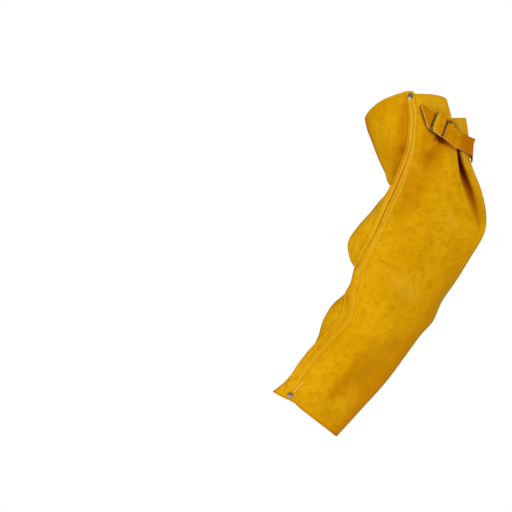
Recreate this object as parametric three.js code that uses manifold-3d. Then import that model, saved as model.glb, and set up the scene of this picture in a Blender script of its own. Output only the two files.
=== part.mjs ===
// Leather welding sleeve for one arm, in the bent form that it has when it is worn.
// Millimetres. X runs to the outer side of the arm, Y from the sleeve's front to its back,
// Z up. The origin is the middle of the upper-arm opening.

import * as THREE from 'three';
import { mergeVertices } from 'three/addons/utils/BufferGeometryUtils.js';
import Module from 'manifold-3d';

const wasm = await Module();
wasm.setup();

// Driving sizes of the leather and the metal

const HIDE = 1.5; // thickness of the sleeve's split hide
const ALLOWANCE = 9.5; // each side of the seam, pressed open inside and topstitched
const CLEAR = 0.3; // gap between pieces that touch on the real sleeve
const LENGTH = 542; // down the middle of the sleeve, from the opening to the cuff
const WIRE = 2.5; // diameter of the buckle and ring wire
const STRAP_WIDTH = 28;
const STRAP_HIDE = 2;
const TAB_HIDE = 1.3;
const TAB_WIDTH = 22;
const RIVET = { cap: 5, rise: 1.7, shank: 1.5, washer: 4, washerHide: 0.9, pressed: 0.4 };
const TOP_RIVET_AT = 4.6; // down the seam
const CUFF_RIVET_AT = 534;
const SLIDE = { bars: 32, pitch: 12.5, corner: 2.4 }; // pitch is from bar to bar
const RING = { bars: 36, pitch: 14, corner: 2.4, lean: 16, sag: 2 }; // it leans, in degrees, and sags
const FREE_END = { reach: 28, cut: 25, tip: 5, lift: -4 }; // past the slide, cut slantwise to a tip
const STRAP_TAIL = 6; // the end turned under behind the ring's near bar
const BUCKLE_TAB = { run: -15, drop: -8.1 }; // from the wire's middle to the tail's end
const RING_TAB = { run: 15, drop: -7.4 };

// Mesh fineness

const ROW_STEP = 13; // height of a row of facets
const FACETS = 3; // facets between two neighbouring guide lines
const WIRE_SIDES = 8;
const RIVET_SIDES = 20;
const EYE_SIDES = 8; // facets of half a tab's eye

// The seam's route down the sleeve. turn is how far, in degrees, the leather on the
// inner side of the seam turns towards the back.
const SEAM = [
  { at: 0, x: -5, z: 29.6, y: -42, turn: 25 },
  { at: 20, x: 1.1, z: -4.8, y: -48, turn: 25 },
  { at: 45, x: 0.8, z: -32, y: -51, turn: 25 },
  { at: 78, x: -3.2, z: -64, y: -51, turn: 25 },
  { at: 104, x: -11.2, z: -88, y: -48, turn: 20 },
  { at: 135, x: -25.6, z: -123.2, y: -43, turn: 12 },
  { at: 175, x: -41.6, z: -157.6, y: -44, turn: 20 },
  { at: 223, x: -62.4, z: -203.2, y: -46, turn: 30 },
  { at: 262, x: -84.8, z: -244, y: -40, turn: 55 },
  { at: 278, x: -92, z: -259.2, y: -36, turn: 85 },
  { at: 296, x: -96.8, z: -276.8, y: -33, turn: 90 },
  { at: 315, x: -101.9, z: -292.8, y: -32, turn: 60 },
  { at: 338, x: -102.1, z: -308.8, y: -34, turn: 35 },
  { at: 362, x: -105.6, z: -328, y: -36, turn: 30 },
  { at: 401, x: -128, z: -356.8, y: -35, turn: 30 },
  { at: 443, x: -158.4, z: -388.8, y: -31, turn: 30 },
  { at: 495, x: -184, z: -425.6, y: -25, turn: 25 },
  { at: LENGTH, x: -197.4, z: -462.4, y: -19, turn: 15 },
];

// The inner edge of the sleeve, seen from the front. A sharp row is a crease at the
// crook of the elbow, where the leather goes in behind the seam. belly is how far the
// panel between seam and edge stands out, as a share of its width, and rise lifts it.
const INNER = [
  { at: 0, x: -75.2, z: -14.4, y: 16, belly: 0.1, rise: 7 },
  { at: 20, x: -72, z: -28.8, y: 15, belly: 0.12, rise: 3 },
  { at: 45, x: -63.2, z: -52.8, y: 13, belly: 0.12, rise: 0 },
  { at: 78, x: -52.8, z: -80, y: 12, belly: 0.1, rise: 0 },
  { at: 104, x: -43.2, z: -100.8, y: 11, belly: 0.06, rise: 0 },
  { at: 123, x: -36.8, z: -116.8, y: 10, belly: 0, rise: 0 },
  { at: 135, x: -24, z: -123.2, y: 14, belly: -0.12, rise: 0, sharp: true },
  { at: 149, x: -43.6, z: -138.8, y: 6, belly: 0, rise: 0 },
  { at: 175, x: -67.8, z: -167.2, y: 2, belly: 0.06, rise: 0 },
  { at: 198, x: -88, z: -190.4, y: 0, belly: 0.12, rise: 0 },
  { at: 223, x: -102.4, z: -212.8, y: -2, belly: 0.12, rise: 0 },
  { at: 244, x: -100.8, z: -233.6, y: -2, belly: 0.1, rise: 0 },
  { at: 262, x: -94.4, z: -248, y: 0, belly: 0.05, rise: 0 },
  { at: 278, x: -82, z: -259.2, y: 5, belly: -0.1, rise: 0, sharp: true },
  { at: 296, x: -86, z: -276.8, y: 5, belly: -0.1, rise: 0, sharp: true },
  { at: 315, x: -105.6, z: -293.6, y: -2, belly: 0.04, rise: 0 },
  { at: 338, x: -125.6, z: -309.6, y: -4, belly: 0.1, rise: 0 },
  { at: 362, x: -140, z: -331.2, y: -5, belly: 0.1, rise: 0 },
  { at: 401, x: -152, z: -368, y: -6, belly: 0.1, rise: 0 },
  { at: 443, x: -168.4, z: -397.4, y: -6, belly: 0.03, rise: 0 },
  { at: 495, x: -196.8, z: -428.8, y: -6, belly: 0.06, rise: 0 },
  { at: LENGTH, x: -222.4, z: -450.1, y: -8, belly: 0.08, rise: 0 },
];

// The outer edge, over the point of the elbow.
const OUTER = [
  { at: 0, x: 87.2, z: -13.6, y: 12 },
  { at: 20, x: 90.4, z: -38.4, y: 10 },
  { at: 45, x: 90, z: -64, y: 8 },
  { at: 60, x: 93, z: -80, y: 7 },
  { at: 78, x: 99.8, z: -99.2, y: 5 },
  { at: 104, x: 111, z: -128.4, y: 2 },
  { at: 135, x: 118.9, z: -164.8, y: -2 },
  { at: 149, x: 119.2, z: -177.6, y: -3 },
  { at: 175, x: 116.8, z: -194, y: -4 },
  { at: 198, x: 110.6, z: -208.8, y: -5 },
  { at: 223, x: 98, z: -229.2, y: -5 },
  { at: 262, x: 72.6, z: -270.4, y: -5 },
  { at: 296, x: 49.4, z: -304.2, y: -5 },
  { at: 338, x: 31.8, z: -340.4, y: -5 },
  { at: 362, x: 15.8, z: -358, y: -5 },
  { at: 401, x: -8, z: -390.2, y: -4 },
  { at: 443, x: -37.2, z: -429.8, y: -3 },
  { at: 495, x: -78.6, z: -476.4, y: -2 },
  { at: LENGTH, x: -120.5, z: -522.4, y: 0 },
];

// How far the front stands forward and the back stands rearward, and how much lower
// than its sides the back of the section lies.
const GIRTH = [
  { at: 0, front: -46, back: 66, drop: 30 },
  { at: 45, front: -56, back: 64, drop: 18 },
  { at: 104, front: -61, back: 60, drop: 6 },
  { at: 135, front: -64, back: 57, drop: 0 },
  { at: 198, front: -66, back: 52, drop: 0 },
  { at: 278, front: -58, back: 46, drop: 0 },
  { at: 338, front: -54, back: 42, drop: 0 },
  { at: 443, front: -43, back: 32, drop: 0 },
  { at: LENGTH, front: -28, back: 23, drop: -9 },
];

// The pleat that the strap draws up on the outer side: the lip folds over the valley,
// and the roll runs from there to the outer edge. share fades the pleat out, rise lifts
// the top edge before the lip, and dip lowers it beside the seam.
const PLEAT = [
  { at: 0, lipX: 55.2, lipZ: 16, lipY: -29, valleyX: 48, valleyZ: -12, valleyY: -12,
    rollX: 75, rollZ: -13, rollY: -10, share: 1, rise: 3, dip: 6 },
  { at: 20, lipX: 64, lipZ: -16, lipY: -25, valleyX: 57, valleyZ: -22, valleyY: -7,
    rollX: 80, rollZ: -33, rollY: -10, share: 1, rise: 0, dip: 0 },
  { at: 45, lipX: 69, lipZ: -44, lipY: -23, valleyX: 63, valleyZ: -47, valleyY: -5,
    rollX: 82, rollZ: -55, rollY: -10, share: 1, rise: 0, dip: 0 },
  { at: 78, lipX: 74, lipZ: -80, lipY: -32, valleyX: 73, valleyZ: -85, valleyY: -14,
    rollX: 89, rollZ: -90, rollY: -18, share: 1, rise: 0, dip: 0 },
  { at: 104, lipX: 79, lipZ: -113, lipY: -36, valleyX: 84, valleyZ: -115, valleyY: -19,
    rollX: 98, rollZ: -121, rollY: -19, share: 1, rise: 0, dip: 0 },
  { at: 135, lipX: 91, lipZ: -152, lipY: -37, valleyX: 97, valleyZ: -154, valleyY: -24,
    rollX: 109, rollZ: -160, rollY: -19, share: 0.8, rise: 0, dip: 0 },
  { at: 165, lipX: 94, lipZ: -180, lipY: -37, valleyX: 103, valleyZ: -184, valleyY: -26,
    rollX: 110, rollZ: -187, rollY: -18, share: 0.35, rise: 0, dip: 0 },
  { at: 200, lipX: 90, lipZ: -200, lipY: -37, valleyX: 97, valleyZ: -204, valleyY: -29,
    rollX: 103, rollZ: -206, rollY: -18, share: 0, rise: 0, dip: 0 },
];

// Soft dents and ridges of the front, each along a line from one end to the other.
// A positive height stands out, and reach is its half-width.
const FOLDS = [
  // the pinch under the buckle, and the hollow below it
  { x0: 32, z0: -6, x1: 48, z1: -34, height: -6, reach: 16 },
  { x0: 35, z0: -60, x1: 32, z1: -108, height: -5, reach: 13 },
  // the crease from the buckle to the seam, and the belly beside the pleat
  { x0: 37, z0: -44, x1: 7, z1: -98, height: 1.6, reach: 6 },
  { x0: 59, z0: -80, x1: 69, z1: -144, height: 2, reach: 13 },
  // the small crease at the elbow
  { x0: -58, z0: -238, x1: -20, z1: -256, height: -2, reach: 7 },
  // the ridge down the forearm, and the dent behind it
  { x0: 36, z0: -296, x1: -84, z1: -416, height: 3, reach: 16 },
  { x0: -4, z0: -372, x1: -122, z1: -456, height: -3, reach: 13 },
];

// The strap's route over the pleat, from its free end through the slide and past the ring.
// The across columns give the direction from its upper edge to its lower one.
const STRAP_ROUTE = [
  { x: 15.5, y: -62.5, z: -4.2, acrossX: -0.26, acrossY: -0.42, acrossZ: -0.86 },
  { x: 33.6, y: -55, z: -18.2, acrossX: -0.26, acrossY: -0.42, acrossZ: -0.86 },
  { x: 43, y: -50, z: -24.6, acrossX: -0.26, acrossY: -0.42, acrossZ: -0.86 },
  { x: 52.4, y: -44.5, z: -31, acrossX: -0.25, acrossY: -0.42, acrossZ: -0.87 },
  { x: 71.2, y: -30.8, z: -44, acrossX: -0.13, acrossY: -0.42, acrossZ: -0.89 },
  { x: 86.5, y: -14.5, z: -54, acrossX: 0, acrossY: -0.28, acrossZ: -0.96 },
  { x: 95, y: 2, z: -60.5, acrossX: 0.11, acrossY: -0.12, acrossZ: -0.99 },
  { x: 95.6, y: 17, z: -64, acrossX: 0.1, acrossY: -0.08, acrossZ: -0.99 },
  { x: 88, y: 34, z: -67, acrossX: 0.08, acrossY: -0.08, acrossZ: -0.99 },
];
const SLIDE_ROW = 2; // the row of the route at the slide's middle bar
const RING_ROW = 6; // the row of the route at the ring's near bar

// The rivet cap's rounded top: shares of its radius and of its height.
const CAP_CURVE = [
  { radius: 1, height: 0.35 },
  { radius: 0.72, height: 0.8 },
  { radius: 0.38, height: 0.97 },
  { radius: 0, height: 1 },
];

// Where the guide lines of the front lie: plain as shares from the seam to the outer edge,
// pleated as shares from the seam to the pleat's lip, and lift as shares of the top edge's rise.
const FRONT_GUIDES = {
  slope: { plain: 0.22, pleated: 0.36, lift: 0 },
  crest: { plain: 0.44, pleated: 0.68, lift: 1 },
  lip: { plain: 0.62 },
  valley: { plain: 0.74 },
  roll: { plain: 0.86 },
};

// Looks

const leather = (color) => new THREE.MeshStandardMaterial({ color, roughness: 0.9, metalness: 0 });
const metal = (color) => new THREE.MeshStandardMaterial({ color, roughness: 0.35, metalness: 1 });

// Curves through the tables

function column(rows, key) {
  const slope = (a, b) => (b[key] - a[key]) / (b.at - a.at);
  const tangent = (i, towardsNext) => {
    const [before, here, after] = [rows[i - 1], rows[i], rows[i + 1]];
    if (!before) return slope(here, after);
    if (!after) return slope(before, here);
    if (here.sharp) return towardsNext ? slope(here, after) : slope(before, here);
    const lean = (here.at - before.at) / (after.at - before.at);
    return slope(before, here) * (1 - lean) + slope(here, after) * lean;
  };
  return (at) => {
    const last = rows.at(-1);
    if (at >= last.at) return last[key];
    const next = Math.max(1, rows.findIndex((row) => row.at >= at));
    const [a, b] = [rows[next - 1], rows[next]];
    const span = b.at - a.at;
    const t = (at - a.at) / span;
    const [t2, t3] = [t * t, t * t * t];
    return (2 * t3 - 3 * t2 + 1) * a[key] + (3 * t2 - 2 * t3) * b[key]
      + span * ((t3 - 2 * t2 + t) * tangent(next - 1, true) + (t3 - t2) * tangent(next, false));
  };
}

function columns(rows, ...keys) {
  return Object.fromEntries(keys.map((key) => [key, column(rows, key)]));
}

function pointOn(curve, at) {
  return new THREE.Vector3(curve.x(at), curve.y(at), curve.z(at));
}

const seamLine = columns(SEAM, 'x', 'y', 'z', 'turn');
const innerLine = columns(INNER, 'x', 'y', 'z', 'belly', 'rise');
const fairInnerLine = columns(INNER.filter((row) => !row.sharp), 'x', 'y', 'z');
const outerLine = columns(OUTER, 'x', 'y', 'z');
const girth = columns(GIRTH, 'front', 'back', 'drop');
const pleat = columns(PLEAT, 'share', 'rise', 'dip');
const pleatLine = (name) => ({
  x: column(PLEAT, `${name}X`),
  y: column(PLEAT, `${name}Y`),
  z: column(PLEAT, `${name}Z`),
});
const lipLine = pleatLine('lip');
const valleyLine = pleatLine('valley');
const rollLine = pleatLine('roll');

// The direction, seen from the front, that leads square away from the seam to the inner side.
function innerSide(at) {
  const SPAN = 6; // the seam's direction is taken from this far before and after
  const [before, after] = [Math.max(0, at - SPAN), Math.min(LENGTH, at + SPAN)];
  const dx = seamLine.x(after) - seamLine.x(before);
  const dz = seamLine.z(after) - seamLine.z(before);
  return new THREE.Vector3(dz, 0, -dx).normalize();
}

// A point of the front panel, at a share of the way from one guide point to another.
function frontArc(from, to, front, share) {
  const CROWN = 0.36; // where the panel stands furthest forward
  const SKEW = 0.8; // draws the swell towards the seam
  const TAPER = 1.15; // flattens both ends of the swell
  const swell = (q) => Math.sin(Math.PI * q ** SKEW) ** TAPER;
  const chordAtCrown = THREE.MathUtils.lerp(from.y, to.y, CROWN);
  const point = new THREE.Vector3().lerpVectors(from, to, share);
  point.y -= Math.max(0, chordAtCrown - front) * swell(share) / swell(CROWN);
  return point;
}

// The guide points of one section, from the seam over the inner edge, the back, the
// outer edge and the pleat to the seam again.
function sectionGuides(at) {
  const seam = pointOn(seamLine, at);
  const inner = pointOn(innerLine, at);
  const fairInner = pointOn(fairInnerLine, at);
  const outer = pointOn(outerLine, at);
  const side = innerSide(at);
  const turn = THREE.MathUtils.degToRad(seamLine.turn(at));
  const front = girth.front(at);

  const bandInner = seam.clone().addScaledVector(side, ALLOWANCE * Math.cos(turn));
  bandInner.y += ALLOWANCE * Math.sin(turn);
  const innerPanel = new THREE.Vector3().lerpVectors(bandInner, inner, 0.5);
  const belly = innerLine.belly(at) * bandInner.distanceTo(inner);
  innerPanel.addScaledVector(side, belly);
  innerPanel.y -= belly;
  innerPanel.z += innerLine.rise(at);

  const back = (degrees) => {
    const angle = THREE.MathUtils.degToRad(degrees);
    const depth = Math.sin(angle);
    const point = new THREE.Vector3().lerpVectors(fairInner, outer, (1 - Math.cos(angle)) / 2);
    point.y += (girth.back(at) - point.y) * depth;
    point.z -= girth.drop(at) * depth;
    return point;
  };

  const lip = pointOn(lipLine, at);
  const pleated = pleat.share(at);
  const towards = (guide, pleatPoint) => (
    frontArc(seam, outer, front, guide.plain).lerp(pleatPoint, pleated)
  );
  const towardsLip = (guide) => {
    const point = frontArc(seam, lip, front, guide.pleated);
    point.z += pleat.rise(at) * guide.lift;
    return towards(guide, point);
  };
  const bandOuter = frontArc(seam, outer, front, ALLOWANCE / seam.distanceTo(outer));
  bandOuter.x = seam.x - side.x * ALLOWANCE;
  bandOuter.z = seam.z - side.z * ALLOWANCE - pleat.dip(at);

  return [
    seam,
    bandInner,
    innerPanel,
    inner,
    back(45),
    back(90),
    back(135),
    outer,
    towards(FRONT_GUIDES.roll, pointOn(rollLine, at)),
    towards(FRONT_GUIDES.valley, pointOn(valleyLine, at)),
    towards(FRONT_GUIDES.lip, lip),
    towardsLip(FRONT_GUIDES.crest),
    towardsLip(FRONT_GUIDES.slope),
    bandOuter,
  ];
}

const GUIDES = sectionGuides(0).length;
const AROUND = GUIDES * FACETS;
const INNER_EDGE_GUIDE = 3;
const OUTER_EDGE_GUIDE = 7;
const FOLD_FADE = { from: 0.2, to: 1.6 }; // guides away from an edge, over which the folds set in

// How much of a fold's height shows at a point of the front.
function foldHeight(point) {
  let height = 0;
  for (const fold of FOLDS) {
    const [dx, dz] = [fold.x1 - fold.x0, fold.z1 - fold.z0];
    const along = ((point.x - fold.x0) * dx + (point.z - fold.z0) * dz) / (dx * dx + dz * dz);
    const nearest = THREE.MathUtils.clamp(along, 0, 1);
    const away = Math.hypot(point.x - fold.x0 - dx * nearest, point.z - fold.z0 - dz * nearest);
    height += fold.height * Math.exp(-((away / fold.reach) ** 2));
  }
  return height;
}

function sectionPoints(at) {
  const curve = new THREE.CatmullRomCurve3(sectionGuides(at), true, 'centripetal');
  const points = [];
  for (let i = 0; i < AROUND; i += 1) {
    const guide = i / FACETS;
    const point = curve.getPoint(i / AROUND);
    const onInner = guide <= INNER_EDGE_GUIDE;
    const fromEdge = onInner ? INNER_EDGE_GUIDE - guide : guide - OUTER_EDGE_GUIDE;
    const shown = THREE.MathUtils.smoothstep(fromEdge, FOLD_FADE.from, FOLD_FADE.to);
    point.y -= foldHeight(point) * shown;
    points.push(point);
  }
  return points;
}

// The sleeve's body

function rowLevels() {
  const creases = INNER.filter((row) => row.sharp).map((row) => row.at);
  const stops = [0, ...creases, LENGTH];
  const levels = [0];
  for (let i = 1; i < stops.length; i += 1) {
    const steps = Math.round((stops[i] - stops[i - 1]) / ROW_STEP);
    for (let step = 1; step <= steps; step += 1) {
      levels.push(THREE.MathUtils.lerp(stops[i - 1], stops[i], step / steps));
    }
  }
  return levels;
}

// The outward direction of the skin at each point of a grid of sections.
function skinNormals(rows) {
  return rows.map((row, i) => row.map((point, j) => {
    const up = rows[Math.max(0, i - 1)][j];
    const down = rows[Math.min(rows.length - 1, i + 1)][j];
    const before = row[(j + AROUND - 1) % AROUND];
    const after = row[(j + 1) % AROUND];
    const around = new THREE.Vector3().subVectors(after, before);
    return around.cross(new THREE.Vector3().subVectors(down, up)).normalize();
  }));
}

// The wall's thickness: the two allowances double it along the seam.
function wallAt(j) {
  const guide = j / FACETS;
  const fromSeam = Math.min(guide, GUIDES - guide);
  return fromSeam <= 1 ? 2 * HIDE : HIDE;
}

function sleeveGeometry() {
  const outside = rowLevels().map(sectionPoints);
  const normals = skinNormals(outside);
  const inside = outside.map((row, i) => row.map((point, j) => (
    point.clone().addScaledVector(normals[i][j], -wallAt(j))
  )));
  const last = outside.length - 1;
  const index = [];
  const vertex = (skin, i, j) => (skin * outside.length + i) * AROUND + (j % AROUND);
  const quad = (a, b, c, d) => index.push(a, b, c, a, c, d);
  for (let j = 0; j < AROUND; j += 1) {
    for (let i = 0; i < last; i += 1) {
      quad(vertex(0, i, j), vertex(0, i, j + 1), vertex(0, i + 1, j + 1), vertex(0, i + 1, j));
      quad(vertex(1, i, j), vertex(1, i + 1, j), vertex(1, i + 1, j + 1), vertex(1, i, j + 1));
    }
    quad(vertex(0, 0, j), vertex(1, 0, j), vertex(1, 0, j + 1), vertex(0, 0, j + 1));
    quad(vertex(0, last, j), vertex(0, last, j + 1), vertex(1, last, j + 1), vertex(1, last, j));
  }
  const geometry = new THREE.BufferGeometry();
  geometry.setFromPoints([...outside.flat(), ...inside.flat()]);
  geometry.setIndex(index);
  return geometry;
}

// Joins and cuts

function toSolid(geometry) {
  const bare = geometry.clone();
  bare.deleteAttribute('normal');
  bare.deleteAttribute('uv');
  const merged = mergeVertices(bare, 1e-4);
  return new wasm.Manifold(new wasm.Mesh({
    numProp: 3,
    vertProperties: Float32Array.from(merged.attributes.position.array),
    triVerts: Uint32Array.from(merged.index.array),
  }));
}

function toGeometry(solid) {
  const { vertProperties, triVerts } = solid.getMesh();
  const geometry = new THREE.BufferGeometry();
  geometry.setAttribute('position', new THREE.BufferAttribute(vertProperties, 3));
  geometry.setIndex(new THREE.BufferAttribute(triVerts, 1));
  return geometry;
}

// Rivets

// The rivet's outline from the inside of the sleeve to the cap's top, grown by a clearance.
function rivetProfile(grow) {
  const seat = -RIVET.pressed - grow;
  const washerTop = RIVET.pressed - 2 * HIDE + grow;
  const washerFoot = washerTop - RIVET.washerHide - 2 * grow;
  const cap = RIVET.cap + grow;
  const capTop = seat + RIVET.rise + 2 * grow;
  const profile = [
    [0, washerFoot],
    [RIVET.washer + grow, washerFoot],
    [RIVET.washer + grow, washerTop],
    [RIVET.shank + grow, washerTop],
    [RIVET.shank + grow, seat],
    [cap, seat],
  ];
  for (const { radius, height } of CAP_CURVE) {
    profile.push([cap * radius, THREE.MathUtils.lerp(seat, capTop, height)]);
  }
  return profile.map(([radius, height]) => new THREE.Vector2(radius, height));
}

function rivetGeometry(place, outward, grow) {
  const geometry = new THREE.LatheGeometry(rivetProfile(grow), RIVET_SIDES);
  const turn = new THREE.Quaternion().setFromUnitVectors(new THREE.Vector3(0, 1, 0), outward);
  return geometry.applyQuaternion(turn).translate(place.x, place.y, place.z);
}

// A rivet's place on the seam and the direction that its cap faces.
function seamSeat(at) {
  const STEP = 3;
  const rows = [at - STEP, at, at + STEP].map(sectionPoints);
  return { place: rows[1][0], outward: skinNormals(rows)[1][0] };
}

const RIVET_SEATS = [
  { name: 'top_rivet', ...seamSeat(TOP_RIVET_AT) },
  { name: 'cuff_rivet', ...seamSeat(CUFF_RIVET_AT) },
];

// Strap and wire

const strapCentre = new THREE.CatmullRomCurve3(
  STRAP_ROUTE.map((row) => new THREE.Vector3(row.x, row.y, row.z)),
);
const strapLength = strapCentre.getLength();

// Where the strap's route is at a distance along it: its middle, and the directions along
// it, across it and out of the sleeve.
function strapFrame(distance) {
  const share = THREE.MathUtils.clamp(distance / strapLength, 0, 1);
  const along = strapCentre.getTangentAt(share);
  const place = strapCentre.getPointAt(share);
  place.addScaledVector(along, distance - share * strapLength);
  const step = strapCentre.getUtoTmapping(share) * (STRAP_ROUTE.length - 1);
  const [low, high] = [STRAP_ROUTE[Math.floor(step)], STRAP_ROUTE[Math.ceil(step)]];
  const mix = (key) => THREE.MathUtils.lerp(low[key], high[key], step % 1);
  const across = new THREE.Vector3(mix('acrossX'), mix('acrossY'), mix('acrossZ'));
  across.addScaledVector(along, -across.dot(along)).normalize();
  const outward = new THREE.Vector3().crossVectors(across, along).normalize();
  return { place, along, across, outward };
}

// The distance along the route to one of its rows.
function routeDistance(row) {
  const STEPS = 25; // lengths measured between two rows
  return strapCentre.getLengths(STEPS * (STRAP_ROUTE.length - 1))[STEPS * row];
}

const SLIDE_AT = routeDistance(SLIDE_ROW);
const RING_AT = routeDistance(RING_ROW);
const slideFrame = strapFrame(SLIDE_AT);
const nearBarFrame = strapFrame(RING_AT);
const STRAP_TURN = WIRE / 2 + CLEAR + STRAP_HIDE / 2; // from a wire's middle to the strap's

// A frame moved along its own direction.
function slidAlong(frame, offset) {
  return { ...frame, place: frame.place.clone().addScaledVector(frame.along, offset) };
}

// A frame turned about its across direction, so that its far side sinks.
function leaned(frame, degrees) {
  const angle = THREE.MathUtils.degToRad(-degrees);
  const turn = new THREE.Quaternion().setFromAxisAngle(frame.across, angle);
  return {
    ...frame,
    along: frame.along.clone().applyQuaternion(turn),
    outward: frame.outward.clone().applyQuaternion(turn),
  };
}

// A wire bent to a rectangle with round corners, as a closed tube.
function wireLoop(frame, halfAlong, halfAcross, corner) {
  const BEND = 4; // facets of a corner
  const ring = [];
  const quarters = [[1, 1], [-1, 1], [-1, -1], [1, -1]];
  quarters.forEach(([signAlong, signAcross], quarter) => {
    for (let i = 0; i <= BEND; i += 1) {
      const angle = (quarter + i / BEND) * Math.PI / 2;
      const facing = frame.along.clone().multiplyScalar(Math.cos(angle))
        .addScaledVector(frame.across, Math.sin(angle));
      const place = frame.place.clone()
        .addScaledVector(frame.along, signAlong * (halfAlong - corner))
        .addScaledVector(frame.across, signAcross * (halfAcross - corner))
        .addScaledVector(facing, corner);
      ring.push({ place, facing });
    }
  });
  const points = [];
  for (const { place, facing } of ring) {
    for (let side = 0; side < WIRE_SIDES; side += 1) {
      const angle = (side / WIRE_SIDES) * Math.PI * 2;
      points.push(place.clone()
        .addScaledVector(facing, Math.cos(angle) * WIRE / 2)
        .addScaledVector(frame.outward, Math.sin(angle) * WIRE / 2));
    }
  }
  const index = [];
  const vertex = (i, side) => (i % ring.length) * WIRE_SIDES + (side % WIRE_SIDES);
  for (let i = 0; i < ring.length; i += 1) {
    for (let side = 0; side < WIRE_SIDES; side += 1) {
      index.push(vertex(i, side), vertex(i, side + 1), vertex(i + 1, side));
      index.push(vertex(i, side + 1), vertex(i + 1, side + 1), vertex(i + 1, side));
    }
  }
  const geometry = new THREE.BufferGeometry().setFromPoints(points);
  geometry.setIndex(index);
  return geometry;
}

function barGeometry(frame, length) {
  const geometry = new THREE.CylinderGeometry(WIRE / 2, WIRE / 2, length, WIRE_SIDES);
  const turn = new THREE.Matrix4().makeBasis(frame.outward, frame.across, frame.along);
  return geometry.applyMatrix4(turn).translate(frame.place.x, frame.place.y, frame.place.z);
}

// The strap's middle line as a run of stops, each at a height over a frame.
function strapStops() {
  const half = STRAP_WIDTH / 2;
  const under = STRAP_TURN + CLEAR;
  const over = STRAP_TURN + TAB_HIDE + CLEAR;
  const stops = [];
  const stop = (frame, height, lower = half) => {
    const middle = frame.place.clone().addScaledVector(frame.outward, height);
    stops.push({ middle, across: frame.across, lower });
  };
  const tip = SLIDE_AT - SLIDE.pitch - FREE_END.reach;
  stop(strapFrame(tip), FREE_END.lift, FREE_END.tip - half);
  stop(strapFrame(tip + FREE_END.cut), -under);
  const SLOPE = 1.5; // where the strap starts to rise, inside the outer bars
  const CREST = 4; // half-length of its crest over the middle bar
  const CREST_SHARE = 0.8; // how high the crest's ends are, of its middle
  const waves = [
    { offset: SLOPE - SLIDE.pitch, height: -under },
    { offset: -CREST, height: over * CREST_SHARE },
    { offset: 0, height: over },
    { offset: CREST, height: over * CREST_SHARE },
    { offset: SLIDE.pitch - SLOPE, height: -under },
  ];
  for (const { offset, height } of waves) {
    stop(slidAlong(slideFrame, offset), height);
  }
  const RUN = 7; // stops between the slide and the ring
  const LEVEL = 4; // how far past the slide the strap still lies low
  const CLIMB = 0.35; // the share of the run after which it climbs to the ring
  const start = SLIDE_AT + SLIDE.pitch + LEVEL;
  for (let i = 0; i < RUN; i += 1) {
    const share = i / RUN;
    const climbed = THREE.MathUtils.smoothstep(share, CLIMB, 1);
    const frame = strapFrame(THREE.MathUtils.lerp(start, RING_AT, share));
    stop(frame, THREE.MathUtils.lerp(-under, STRAP_TURN, climbed));
  }
  const BEND = 8; // facets of the turn round the near bar
  for (let i = 0; i <= BEND; i += 1) {
    const angle = (i / BEND) * Math.PI;
    stop(slidAlong(nearBarFrame, STRAP_TURN * Math.sin(angle)), STRAP_TURN * Math.cos(angle));
  }
  stop(slidAlong(nearBarFrame, -STRAP_TAIL), -STRAP_TURN);
  return stops;
}

function strapGeometry() {
  const stops = strapStops();
  const upper = -STRAP_WIDTH / 2;
  const points = [];
  stops.forEach(({ middle, across, lower }, i) => {
    const before = stops[Math.max(0, i - 1)].middle;
    const after = stops[Math.min(stops.length - 1, i + 1)].middle;
    const run = new THREE.Vector3().subVectors(after, before).normalize();
    const out = new THREE.Vector3().crossVectors(across, run).normalize();
    for (const [width, thick] of [[upper, 1], [lower, 1], [lower, -1], [upper, -1]]) {
      const corner = middle.clone().addScaledVector(across, width);
      points.push(corner.addScaledVector(out, thick * STRAP_HIDE / 2));
    }
  });
  const CORNERS = 4;
  const index = [];
  for (let i = 0; i < stops.length - 1; i += 1) {
    for (let corner = 0; corner < CORNERS; corner += 1) {
      const next = (corner + 1) % CORNERS;
      const [a, b] = [i * CORNERS + corner, i * CORNERS + next];
      index.push(a, b, b + CORNERS, a, b + CORNERS, a + CORNERS);
    }
  }
  const end = (stops.length - 1) * CORNERS;
  index.push(0, 2, 1, 0, 3, 2, end, end + 1, end + 2, end, end + 2, end + 3);
  const geometry = new THREE.BufferGeometry().setFromPoints(points);
  geometry.setIndex(index);
  return geometry;
}

// A leather tab folded round a wire: an eye with a tail that runs back to the sleeve,
// drawn in the plane of the strap's run and its outward direction.
function tabGeometry(frame, tail) {
  const eye = WIRE / 2 + CLEAR;
  const outer = eye + TAB_HIDE;
  const shape = new THREE.Shape();
  const EYE_OPEN = 0.55; // half-angle of the eye that the tail takes up
  const towards = Math.atan2(tail.drop, tail.run);
  shape.absarc(0, 0, outer, towards + EYE_OPEN, towards - EYE_OPEN + 2 * Math.PI, false);
  const aside = new THREE.Vector2(Math.sin(towards), -Math.cos(towards)).multiplyScalar(TAB_HIDE);
  shape.lineTo(tail.run + aside.x, tail.drop + aside.y);
  shape.lineTo(tail.run - aside.x, tail.drop - aside.y);
  shape.closePath();
  const hole = new THREE.Path();
  hole.absarc(0, 0, eye, 0, 2 * Math.PI, true);
  shape.holes.push(hole);
  const geometry = new THREE.ExtrudeGeometry(shape, {
    depth: TAB_WIDTH,
    bevelEnabled: false,
    curveSegments: EYE_SIDES,
  });
  geometry.translate(0, 0, -TAB_WIDTH / 2);
  const turn = new THREE.Matrix4().makeBasis(frame.along, frame.outward, frame.across);
  return geometry.applyMatrix4(turn).translate(frame.place.x, frame.place.y, frame.place.z);
}

// Assembly

const sleeve = new THREE.Group();

function addPiece(name, geometry, material) {
  geometry.computeVertexNormals();
  const mesh = new THREE.Mesh(geometry, material);
  mesh.name = name;
  sleeve.add(mesh);
}

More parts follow.
